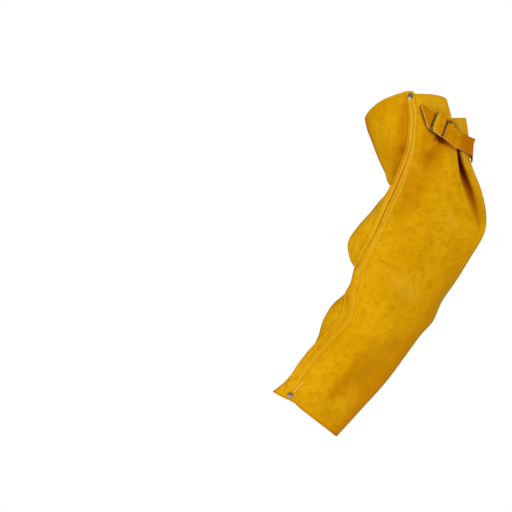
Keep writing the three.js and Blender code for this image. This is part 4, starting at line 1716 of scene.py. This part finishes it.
@dataclass
class SeamThread:
    """The topstitching on both sides of the seam, and its loose end at the cuff."""

    body: SleeveBody
    hide: BVHTree  # the sleeve's skin, in metres
    finishes: Finishes
    stitching: Stitching = Stitching("seam_stitches")
    row_end: float = 496.0  # down the sleeve, where the outer row ends in one long thread
    loose_from: Pair = (-174.7, -434.4)  # X and Z of the loose end's two ends
    loose_to: Pair = (-188.0, -451.2)
    loose_thread: float = 1.5
    loose_points: int = 24
    loose_sides: int = 10
    loose_rise: float = 0.42  # of the thread, how far its middle lies over the hide
    loose_dive: float = 0.9  # of the thread, how far its start goes into the hide
    loose_dive_to: float = 0.08  # the share of its length over which it comes out

    def build(self) -> None:
        """Builds the stitches and the loose end."""
        parts = []
        for side in SeamSide:
            points, normals = self.body.stitch_line(side)
            if side is SeamSide.OUTER:
                kept = self.body.at <= self.row_end
                points, normals = points[kept], normals[kept]
            parts.append(self.stitching.row(points, normals))
        piece = mesh_piece(self.stitching.name, *join_parts(parts))
        settle(piece, None, self.finishes.thread)
        self._loose_end()

    def _loose_end(self) -> None:
        """Builds the thread's loose end, which lies straight over the hide to the rivet."""
        share = np.linspace(0, 1, self.loose_points)
        before = -200.0
        line, out = [], []
        for part in share:
            x, z = (a + (b - a) * part for a, b in zip(self.loose_from, self.loose_to))
            place, normal, _, _ = self.hide.ray_cast(Vector((x, before, z)) * MM, Vector((0.0, 1.0, 0.0)))
            line.append(np.array(place) / MM)
            out.append(np.array(normal))
        outward = np.array(out)
        dive = self.loose_dive * (1 - smoothstep(share, 0, self.loose_dive_to))
        middle = np.array(line) + outward * (self.loose_thread * (self.loose_rise - dive)[:, None])
        tube = tube_mesh(middle, outward, self.loose_thread / 2, self.loose_sides, closed=False)
        settle(mesh_piece("loose_thread", *tube), None, self.finishes.loose_thread)


# Rivets


@dataclass(frozen=True)
class Rivet:
    """A capped rivet through the seam, with its washer on the inside."""

    form: SleeveForm
    finishes: Finishes
    node: str
    at: float
    cap: float = 5.4
    rise: float = 1.7
    shank: float = 1.5
    washer: float = 4.0
    washer_hide: float = 0.9
    pressed: float = 0.2
    step: float = 3.0  # down the sleeve, over which its seat's slope is read
    step_around: float = 0.33  # the same round the sleeve, in guides
    sides: int = 48

    def _profile(self) -> list[Pair]:
        """Draws the rivet's outline.

        Returns:
            Radius and height, from the washer's foot to the cap's top.
        """
        seat = -self.pressed
        washer_top = self.pressed - 2 * HIDE
        foot = washer_top - self.washer_hide
        curve = ((0.97, 0.0), (1.0, 0.1), (1.0, 0.24), (0.96, 0.36), (0.88, 0.5), (0.74, 0.7), (0.56, 0.86))
        top = ((0.38, 0.95), (0.2, 0.985))
        outline = [(self.washer * 0.3, foot - 0.25), (self.washer * 0.9, foot), (self.washer, foot + 0.2)]
        outline += [(self.washer, washer_top - 0.2), (self.washer * 0.94, washer_top)]
        outline += [(self.shank, washer_top), (self.shank, seat)]
        outline += [(self.cap * radius, seat + self.rise * height) for radius, height in (*curve, *top)]
        return outline

    def build(self) -> None:
        """Builds the rivet at its seat on the seam."""
        levels = np.array([self.at - self.step, self.at, self.at + self.step])
        around = np.array([self.form.guides - self.step_around, 0.0, self.step_around])
        skin = self.form.points(levels, around)
        across, down = skin[1, 2] - skin[1, 0], skin[2, 1] - skin[0, 1]
        out = unit(np.cross(across, down))
        side = unit(np.cross(down, out))
        up = np.cross(out, side)
        angles = ring_angles(self.sides)
        circle = np.outer(np.cos(angles), side) + np.outer(np.sin(angles), up)
        rings = [skin[1, 1] + out * height + radius * circle for radius, height in self._profile()]
        faces = capped_faces(len(rings), self.sides)
        piece = mesh_piece(f"{self.node}_metal", np.array(rings), faces, sharp_degrees=50)
        settle(piece, self.node, self.finishes.rivet)


# Strap, buckle and tabs


@dataclass(frozen=True)
class StrapFrame:
    """A place on the strap's route with the directions along it, across it and outwards."""

    place: Array
    along: Array
    across: Array
    outward: Array

    def slid(self, offset: float) -> "StrapFrame":
        """Moves the frame along its own direction."""
        return replace(self, place=self.place + self.along * offset)

    def leaned(self, degrees: float) -> "StrapFrame":
        """Turns the frame about its across direction, so that its far side sinks."""
        turn = np.array(Matrix.Rotation(math.radians(-degrees), 3, Vector(self.across)))
        return replace(self, along=turn @ self.along, outward=turn @ self.outward)

    def at(self, along: float, outward: float, across: float = 0.0) -> Array:
        """Gives the point at distances along, outwards and across."""
        return self.place + self.along * along + self.outward * outward + self.across * across


class StrapRoute:
    """The strap's route over the pleat, from its free end through the slide and to the ring."""

    STEPS = 60  # points between two rows

    def __init__(self, rows: Sequence[StrapRow]) -> None:
        """Draws a smooth line.

        Args:
            rows: The places that it passes.
        """
        places = np.array([row.place for row in rows])
        across = np.array([row.across for row in rows])
        self.line, start, share = smooth_line(places, self.STEPS)
        self.across = across[start] * (1 - share) + across[start + 1] * share
        self.distance = along_line(self.line)

    def distance_to(self, row: int) -> float:
        """Gives the distance along the route to one of its rows."""
        return float(self.distance[row * self.STEPS])

    def frame(self, distance: float) -> StrapFrame:
        """Reads the route at a distance, straight on past its ends.

        Args:
            distance: Millimetres along the route.

        Returns:
            The frame there.
        """
        inside = np.array([np.clip(distance, 0, self.distance[-1])])
        run = np.gradient(self.line, axis=0)
        along = unit(read_line(run, self.distance, inside)[0])
        place = read_line(self.line, self.distance, inside)[0] + along * (distance - inside[0])
        across = read_line(self.across, self.distance, inside)[0]
        across = unit(across - along * np.dot(across, along))
        return StrapFrame(place, along, across, unit(np.cross(across, along)))


@dataclass
class BuckledStrap:
    """The strap that gathers the top, with its slide and its ring."""

    route: StrapRoute
    finishes: Finishes
    slide_bars: float = 32.0
    slide_pitch: float = 12.5
    ring_bars: float = 36.0
    ring_pitch: float = 14.0
    ring_lean: float = 16.0
    ring_sag: float = 2.0
    corner: float = 2.4
    free_reach: float = 28.0
    free_cut: float = 25.0
    free_tip: float = 5.0
    free_lift: float = -4.0
    strap_tail: float = 6.0
    sag: float = 1.6  # how far the lower edge hangs between the slide and the ring
    end_slant: float = 0.14  # how far the lower edge draws in at the ring, as a share of its depth
    stations: int = 220
    face_points: int = 13  # points across each of its faces
    per_stop: int = 12  # steps of the middle line from one stop to the next
    wire_sides: int = 20
    bar_points: int = 9
    bend_steps: int = 8
    SLIDE_STOP: ClassVar[int] = 6  # the stop over the slide's middle bar
    BEND_STOP: ClassVar[int] = 18  # the stop where the strap starts to bend round the ring
    puff: float = 3.8  # how much wider each side of the strap swells over the slide's middle bar
    droop: float = 0.12  # how far the swollen sides bend down, as a share of the swell
    puff_ends: Stretch = Stretch(8.2, 10.4)  # this and the shades below are measured from that bar
    free_ends: Stretch = Stretch(-22, -16)
    bar_shade: Bell = Bell(0.5, 15, 3)
    free_shade: float = 0.26
    far_shade: tuple[float, Stretch] = (0.1, Stretch(-5, 8))
    ring_shade: tuple[float, Stretch] = (0.34, Stretch(45, 62))
    # a painted highlight on the lit near side of the hump over the slide
    light: Bell = Bell(0.75, -10.5, 3.6)
    upper_dyed: float = 0.9  # how dyed its edges and ends are, as millimetres from a raw edge
    lower_dyed: float = 0.4
    end_dyed: float = 0.6
    ear: float = 2.6  # how far the strap's upper corner stands out at the ring
    ear_reach: float = 8.0
    ear_share: float = 0.35  # the share of the strap's width that stands out
    turn: float = WIRE / 2 + CLEAR + STRAP_HIDE / 2  # from a wire's middle to the strap's

    def __post_init__(self) -> None:
        """Sets the frames of the slide and the ring."""
        self.slide_at = self.route.distance_to(SLIDE_ROW)
        self.ring_at = self.route.distance_to(RING_ROW)
        self.slide = self.route.frame(self.slide_at)
        self.near_bar = self.route.frame(self.ring_at)
        leaning = self.near_bar.leaned(self.ring_lean)
        ring = leaning.slid(self.ring_pitch / 2)
        self.ring = replace(ring, place=ring.at(0, 0, self.ring_sag))
        self.far_bar = leaning.slid(self.ring_pitch)

    def _stops(self) -> tuple[Array, Array, Array]:
        """Works out the strap's middle line stop by stop.

        Returns:
            The stops' places, their across directions and where the lower edge is.
        """
        half = STRAP_WIDTH / 2
        under = self.turn + CLEAR
        over = self.turn + TAB_HIDE + CLEAR
        stops: list[tuple[Array, Array, float]] = []

        def stop(at: StrapFrame, height: float, edge: float = half, slant: float = 0.0) -> None:
            """Adds one stop at a height over a frame, with its lower edge slanting in."""
            stops.append((at.at(0, height), at.across - at.outward * slant, edge))

        tip = self.slide_at - self.slide_pitch - self.free_reach
        stop(self.route.frame(tip), self.free_lift, self.free_tip - half)
        stop(self.route.frame(tip + self.free_cut), -under)
        near_side = ((-11, -under), (-10, -0.3), (-9, 2.4), (-5, over - 0.1))
        far_side = ((4, over - 0.6), (7.2, 1.4), (9.2, -1), (10.6, -under))
        for offset, height in (*near_side, (0, over + 0.1), *far_side):
            stop(self.slide.slid(offset), height)
        run, level, climb = 7, 4.0, 0.35
        start = self.slide_at + self.slide_pitch + level
        for step in range(run):
            share = step / run
            climbed = float(smoothstep(np.array(share), climb, 1.0))
            height = -under + (self.turn + under) * climbed
            sagging = half + self.sag * math.sin(math.pi * share)
            stop(self.route.frame(start + (self.ring_at - start) * share), height, sagging)
        for step in range(self.bend_steps + 1):
            angle = math.pi * step / self.bend_steps
            turned = self.near_bar.slid(self.turn * math.sin(angle))
            stop(turned, self.turn * math.cos(angle), half, self.end_slant)
        stop(self.near_bar.slid(-self.strap_tail), -self.turn, half, self.end_slant)
        places, across, lower = (np.array(column) for column in zip(*stops))
        return places, across, lower

    def build_strap(self) -> Piece:
        """Builds the strap with rounded edges and a slanting free end.

        Returns:
            The piece.
        """
        places, across, lower = self._stops()
        line, _, _ = smooth_line(places, self.per_stop)
        distance = along_line(line)
        wanted = np.linspace(0, distance[-1], self.stations)
        stop_distance = distance[:: self.per_stop]
        from_slide = wanted - stop_distance[self.SLIDE_STOP]
        free = 1 - self.free_ends.share(from_slide)
        piece = self._ribbon(
            read_line(line, distance, wanted),
            unit(read_line(across, stop_distance, wanted)),
            np.interp(wanted, stop_distance, lower),
            self.puff * (1 - self.puff_ends.share(np.abs(from_slide))),
            self.ear * bump_at(wanted, stop_distance[self.BEND_STOP], self.ear_reach),
            free,
        )
        # painted shade where the strap dips under the bars, on its free end, on the hump's far half and
        # towards the ring
        painted_shade = self.bar_shade.share(np.abs(from_slide)) + self.free_shade * free
        for level, stretch in (self.far_shade, self.ring_shade):
            painted_shade = painted_shade + level * stretch.share(from_slide)
        columns = len(piece.data.vertices) // self.stations
        write_attribute(piece, "painted_shade", np.repeat(painted_shade, columns))
        # painted highlight on the lit near side of the hump over the slide
        write_attribute(piece, "painted_sheen", np.repeat(self.light.share(from_slide), columns))
        settle(piece, "strap", self.finishes.strap)
        return piece

    def _ribbon(
        self, middle: Array, side: Array, lower: Array, puff: Array, ear: Array, cut: Array
    ) -> Piece:
        """Builds the strap along its middle line.

        Args:
            middle: The line's points.
            side: The direction across it at each point.
            lower: Where its lower edge is, from the middle.
            puff: How much wider each of its sides is.
            ear: How far its upper corner stands out.
            cut: 1 where its lower edge is freshly cut and 0 where it is dyed.

        Returns:
            The piece.
        """
        run = unit(np.gradient(middle, axis=0))
        out = unit(np.cross(side, run))
        flat = np.linspace(0, 1, self.face_points)
        rounded = ((0.0, 0.55), (-0.35, 0.0), (0.0, -0.55))
        upper = -STRAP_WIDTH / 2 - puff
        lower = lower + puff
        profile: list[Triple] = [(share, 1.0, 0.0) for share in flat]
        profile += [(1.0, height, -inset) for inset, height in rounded]
        profile += [(share, -1.0, 0.0) for share in flat[::-1]]
        profile += [(0.0, -height, inset) for inset, height in rounded]
        rings = []
        for share, height, bulge in profile:
            across = upper + (lower - upper) * share + bulge
            droop = self.droop * puff * abs(2 * share - 1) ** 3
            lift = height * STRAP_HIDE / 2 - droop + ear * max(0.0, 1 - share / self.ear_share) ** 2
            rings.append(middle + side * across[:, None] + out * lift[:, None])
        points = np.array(rings).transpose(1, 0, 2)
        faces = capped_faces(len(middle), len(profile))
        piece = mesh_piece("strap_leather", points, faces, sharp_degrees=55)
        shares = np.array([share for share, _, _ in profile])
        from_side = self.upper_dyed * (1 - shares) + np.minimum(shares, 1 - shares) * STRAP_WIDTH
        from_side = from_side[None, :] + self.lower_dyed * (1 - cut)[:, None]
        way = along_line(middle)
        from_end = np.minimum(way, way[-1] - way)
        write_attribute(piece, "from_edge", np.minimum(from_side, from_end[:, None] + self.end_dyed))
        return piece

    def _wire(self, name: str, parts: Sequence[tuple[Array, Array, bool]]) -> Piece:
        """Builds a piece of bent wire from its lines.

        Args:
            name: The piece's name.
            parts: For each line its points, its outward direction and whether it is closed.

        Returns:
            The piece.
        """
        tubes = []
        for line, outward, closed in parts:
            out = np.tile(outward, (len(line), 1))
            tubes.append(tube_mesh(line, out, WIRE / 2, self.wire_sides, closed))
        return mesh_piece(name, *join_parts(tubes), sharp_degrees=60)

    def _loop(self, at: StrapFrame, half_along: float, half_across: float) -> Array:
        """Draws a rectangle with round corners.

        Args:
            at: The rectangle's middle.
            half_along: Half its size along the strap.
            half_across: Half its size across it.

        Returns:
            The closed line's points.
        """
        line = []
        for quarter, (sign_along, sign_across) in enumerate(((1, 1), (-1, 1), (-1, -1), (1, -1))):
            for step in range(self.bend_steps + 1):
                angle = (quarter + step / self.bend_steps) * math.pi / 2
                along = sign_along * (half_along - self.corner) + self.corner * math.cos(angle)
                across = sign_across * (half_across - self.corner) + self.corner * math.sin(angle)
                line.append(at.at(along, 0.0, across))
        return np.array(line)

    def build_slide(self) -> None:
        """Builds the three-bar slide."""
        half = self.slide_bars / 2
        loop = self._loop(self.slide, self.slide_pitch, half)
        bar = np.array([self.slide.at(0, 0, share) for share in np.linspace(-half, half, self.bar_points)])
        piece = self._wire("slide_wire", ((loop, self.slide.outward, True), (bar, self.slide.outward, False)))
        settle(piece, "slide_buckle", self.finishes.wire)

    def build_ring(self) -> None:
        """Builds the ring at the strap's fixed end."""
        loop = self._loop(self.ring, self.ring_pitch / 2, self.ring_bars / 2)
        piece = self._wire("ring_wire", ((loop, self.ring.outward, True),))
        settle(piece, "strap_ring", self.finishes.wire)


@dataclass
class Tab:
    """A leather tab folded round a wire, with both layers sewn down on the sleeve."""

    hide: BVHTree  # the sleeve's skin, in metres
    finishes: Finishes
    node: str
    wire: StrapFrame
    run: float  # from the wire's middle to the tail's end, along the strap
    drop: float
    past: float = 9.0  # how far the tail goes on over the hide
    rows_across: int = 9
    tail_points: int = 22
    eye_points: int = 28
    opening: float = 0.62  # half the eye's opening, as an angle
    opens_to: int = 4  # the tail's point that the eye opens to
    leg_start: float = 1.6  # where the legs start, in radii of the eye
    layer_gap: float = 0.05  # from the middle to each layer
    hide_gap: float = 0.15
    sewn_at: tuple[int, int] = (1, 5)  # the points from the tail's end where it is sewn

    def build(self) -> tuple[Piece, list[Array]]:
        """Builds the tab.

        Returns:
            The piece, and the tail's upper face as lines across for its stitches.
        """
        across = np.linspace(-TAB_WIDTH / 2, TAB_WIDTH / 2, self.rows_across)
        folds = [self._fold(float(offset)) for offset in across]
        inner, outer = (np.array(lines) for lines in zip(*folds))
        return self._close(outer, inner)

    def _fold(self, offset: float) -> list[Array]:
        """Draws the fold at one place across the tab.

        Args:
            offset: The place across.

        Returns:
            The hide's inner and outer faces as lines from one tail end round the wire to the other.
        """
        sign = 1.0 if self.run > 0 else -1.0
        reach = abs(self.run) + self.past
        tail = []
        for share in np.linspace(0.0, 1.0, self.tail_points):
            along = sign * reach * share
            straight = self.drop * min(1.0, abs(along / self.run))
            on_hide = self._hide_height(along, offset) + TAB_HIDE + self.hide_gap
            tail.append((along, max(straight, on_hide)))
        tail_line = np.array(tail)
        middle = WIRE / 2 + CLEAR + TAB_HIDE / 2
        toward = math.atan2(tail_line[self.opens_to, 1], tail_line[self.opens_to, 0])
        angles = np.linspace(toward + self.opening, toward - self.opening + 2 * math.pi, self.eye_points)
        circle = np.stack([np.cos(angles), np.sin(angles)], axis=1) * middle
        first = tail_line[np.abs(tail_line[:, 0]) > middle * self.leg_start]
        apart = self._beside(first) * (TAB_HIDE / 2 + self.layer_gap)
        path = np.vstack([(first + apart)[::-1], circle, first - apart])
        side = self._beside(path) * TAB_HIDE / 2
        sides = (path + side, path - side)
        return [np.array([self.wire.at(along, out, offset) for along, out in flat]) for flat in sides]

    @staticmethod
    def _beside(line: Array) -> Array:
        """Gives the unit directions square to a flat line, on its left."""
        run = unit(np.gradient(line, axis=0))
        return np.stack([-run[:, 1], run[:, 0]], axis=1)

    def _hide_height(self, along: float, across: float) -> float:
        """Finds how high the hide stands under the tab.

        Args:
            along: Distance from the wire along the strap.
            across: Distance from the tab's middle.

        Returns:
            The height over the wire's middle, or far below where there is no hide.
        """
        above, deepest = 12.0, -60.0
        start = Vector(self.wire.at(along, above, across) * MM)
        hit = self.hide.ray_cast(start, Vector(-self.wire.outward), (above - deepest) * MM)
        return deepest if hit[0] is None else above - hit[3] / MM

    def _close(self, outer: Array, inner: Array) -> tuple[Piece, list[Array]]:
        """Closes the two faces to one solid hide.

        Args:
            outer: The outer face's points by place across and along.
            inner: The inner face's points.

        Returns:
            The piece, and lines across the tail for its stitches.
        """
        rings = np.concatenate([outer, inner[:, ::-1]], axis=1)
        rows, count = rings.shape[:2]
        faces = ring_faces(rows, count, closed=False)
        for row, turn in ((0, 1), (rows - 1, -1)):
            for step in range(count // 2 - 1):
                quad = [step, step + 1, count - 2 - step, count - 1 - step]
                faces.append([row * count + number for number in quad[::-turn]])
        piece = mesh_piece(f"{self.node}_leather", rings, faces, sharp_degrees=50)
        from_side = np.minimum(np.arange(rows), rows - 1 - np.arange(rows)) * TAB_WIDTH / (rows - 1)
        write_attribute(piece, "from_edge", np.repeat(from_side, count))
        write_attribute(piece, "painted_shade", np.zeros(rows * count))
        settle(piece, self.node, self.finishes.strap)
        return piece, [rings[:, point] for point in self.sewn_at]


# Studio


@dataclass(frozen=True)
class Softbox:
    """A large soft light that faces the sleeve, with its place and width in metres."""

    name: str
    place: Triple
    width: float
    watts: float
    colour: Triple
    target: Triple = (-0.05, 0.0, -0.23)

    def build(self) -> None:
        """Adds the light, which neither the camera nor a mirror sees."""
        data = bpy.data.lights.new(self.name, "AREA")
        data.shape = "DISK"
        data.size = self.width
        data.energy = self.watts
        data.color = self.colour
        light = bpy.data.objects.new(self.name, data)
        light.location = self.place
        facing = Vector(self.target) - light.location
        light.rotation_euler = facing.to_track_quat("-Z", "Y").to_euler()
        light.visible_camera = False
        light.visible_glossy = False
        bpy.context.scene.collection.objects.link(light)


@dataclass(frozen=True)
class Studio:
    """A camera square to the sleeve's front, soft lights at both sides and behind, and a pale floor."""

    millimetres_per_pixel: float = 1.6
    picture: int = 512
    origin_pixel: Pair = (412.0, 110.0)  # where the frame's origin is in the picture
    distance: float = 12.0
    sensor: float = 36.0
    room_light: Colour = (0.2, 0.185, 0.15, 1)
    floor_height: float = -0.74
    floor_radius: float = 1.3

    def build(self) -> None:
        """Builds the camera, the lights, the world and the floor."""
        self._camera()
        self._world()
        Softbox("left_softbox", (-2.3, -1.5, 0.1), 1.6, 50, (1, 1, 0.95)).build()
        Softbox("right_softbox", (1.7, -2.2, 0.3), 1.6, 49, (1, 1, 0.9)).build()
        Softbox("back_light", (1.4, 2.4, 1.2), 1.8, 70, (1, 1, 1)).build()
        self._floor()
        bpy.context.scene.view_settings.view_transform = "Standard"

    def _camera(self) -> None:
        """Sets the camera at the photograph's angle, far off with a long lens."""
        scale = self.millimetres_per_pixel * MM
        middle = self.picture / 2
        data = bpy.data.cameras.new("camera")
        data.sensor_width = self.sensor
        data.lens = self.sensor * self.distance / (self.picture * scale)
        data.clip_end = 100.0
        camera = bpy.data.objects.new("camera", data)
        across, down = middle - self.origin_pixel[0], middle - self.origin_pixel[1]
        camera.location = (across * scale, -self.distance, -down * scale)
        camera.rotation_euler = (math.radians(90), 0, 0)
        bpy.context.scene.collection.objects.link(camera)
        bpy.context.scene.camera = camera

    def _world(self) -> None:
        """Sets a white backdrop that lights the sleeve more softly and warmly than it shows.

        Metal mirrors a bright room below and a dim one above and in front.
        """
        world = bpy.data.worlds.new("white_studio")
        world.use_nodes = True
        board = NodeBoard(world.node_tree)
        white, bright, dim = (1, 1, 1, 1), (1.7, 1.65, 1.5, 1), (0.3, 0.25, 0.2, 1)
        rays = board.add("ShaderNodeLightPath").outputs
        direction = board.add("ShaderNodeTexCoord").outputs["Generated"]
        towards = board.add("ShaderNodeSeparateXYZ", {0: direction})
        sideways = board.ease(towards.outputs["Y"], -0.98, -0.5)
        below = board.ease(towards.outputs["Z"], -0.5, 0.1, 1.0, 0.0)
        mirrored = board.mix(board.math("MULTIPLY", sideways, below), dim, bright)
        cast = board.mix(rays["Is Glossy Ray"], self.room_light, mirrored)
        colour = board.mix(rays["Is Camera Ray"], cast, white)
        backdrop = board.add("ShaderNodeBackground", {"Color": colour, "Strength": 1.0})
        board.add("ShaderNodeOutputWorld", {"Surface": backdrop.outputs[0]})
        bpy.context.scene.world = world

    def _floor(self) -> None:
        """Adds a round pale floor below the sleeve."""
        sides = 96
        angles = ring_angles(sides)
        rim = np.stack([np.cos(angles), np.sin(angles), np.zeros(sides)], axis=1) * self.floor_radius
        points = (rim + np.array([0, 0, self.floor_height])) / MM
        floor = mesh_piece("floor", points, [list(range(sides))])
        material, board = new_material("pale_floor", (0.9, 0.9, 0.9, 1))
        tone = board.ease(board.noise(board.place(), 6.0), 0.2, 0.8)
        colour = board.mix(tone, (0.86, 0.86, 0.85, 1), (0.9, 0.9, 0.89, 1))
        finish_surface(board, {"Base Color": colour, "Roughness": 0.8})
        floor.data.materials.append(material)


# Assembly


def sew_tabs(rows: Sequence[tuple[Array, Array]], finishes: Finishes) -> None:
    """Sews the tabs' tails down with rows of stitches across them.

    Args:
        rows: For each row its line of points across a tail, and the direction outwards.
        finishes: The materials.
    """
    stitching = Stitching("tab_stitches", pitch=3.6, length=3.0, thread=0.8)
    parts = [stitching.row(line, np.tile(out, (len(line), 1))) for line, out in rows]
    settle(mesh_piece(stitching.name, *join_parts(parts)), None, finishes.thread)


def main() -> None:
    """Builds the sleeve piece by piece, then the studio."""
    logging.basicConfig(level=logging.INFO, format="%(name)s: %(message)s")
    finishes = make_finishes()
    form = SleeveForm()
    body = SleeveBody(form, finishes)
    hide = body.build()
    skin = BVHTree.FromObject(hide, bpy.context.evaluated_depsgraph_get())
    SeamThread(body, skin, finishes).build()
    Rivet(form, finishes, "top_rivet", TOP_RIVET_AT).build()
    Rivet(form, finishes, "cuff_rivet", CUFF_RIVET_AT).build()

    buckled = BuckledStrap(StrapRoute(STRAP_ROUTE), finishes)
    strap = buckled.build_strap()
    buckled.build_slide()
    buckled.build_ring()
    sewn: list[tuple[Array, Array]] = []
    tabs = (
        Tab(skin, finishes, "buckle_tab", buckled.slide, run=-15.0, drop=-8.1, past=2.0),
        Tab(skin, finishes, "ring_tab", buckled.far_bar, run=15.0, drop=-7.4),
    )
    for tab in tabs:
        piece, across = tab.build()
        sewn.extend((line, tab.wire.outward) for line in across)
    sew_tabs(sewn, finishes)
    Studio().build()


if __name__ == "__main__":
    main()
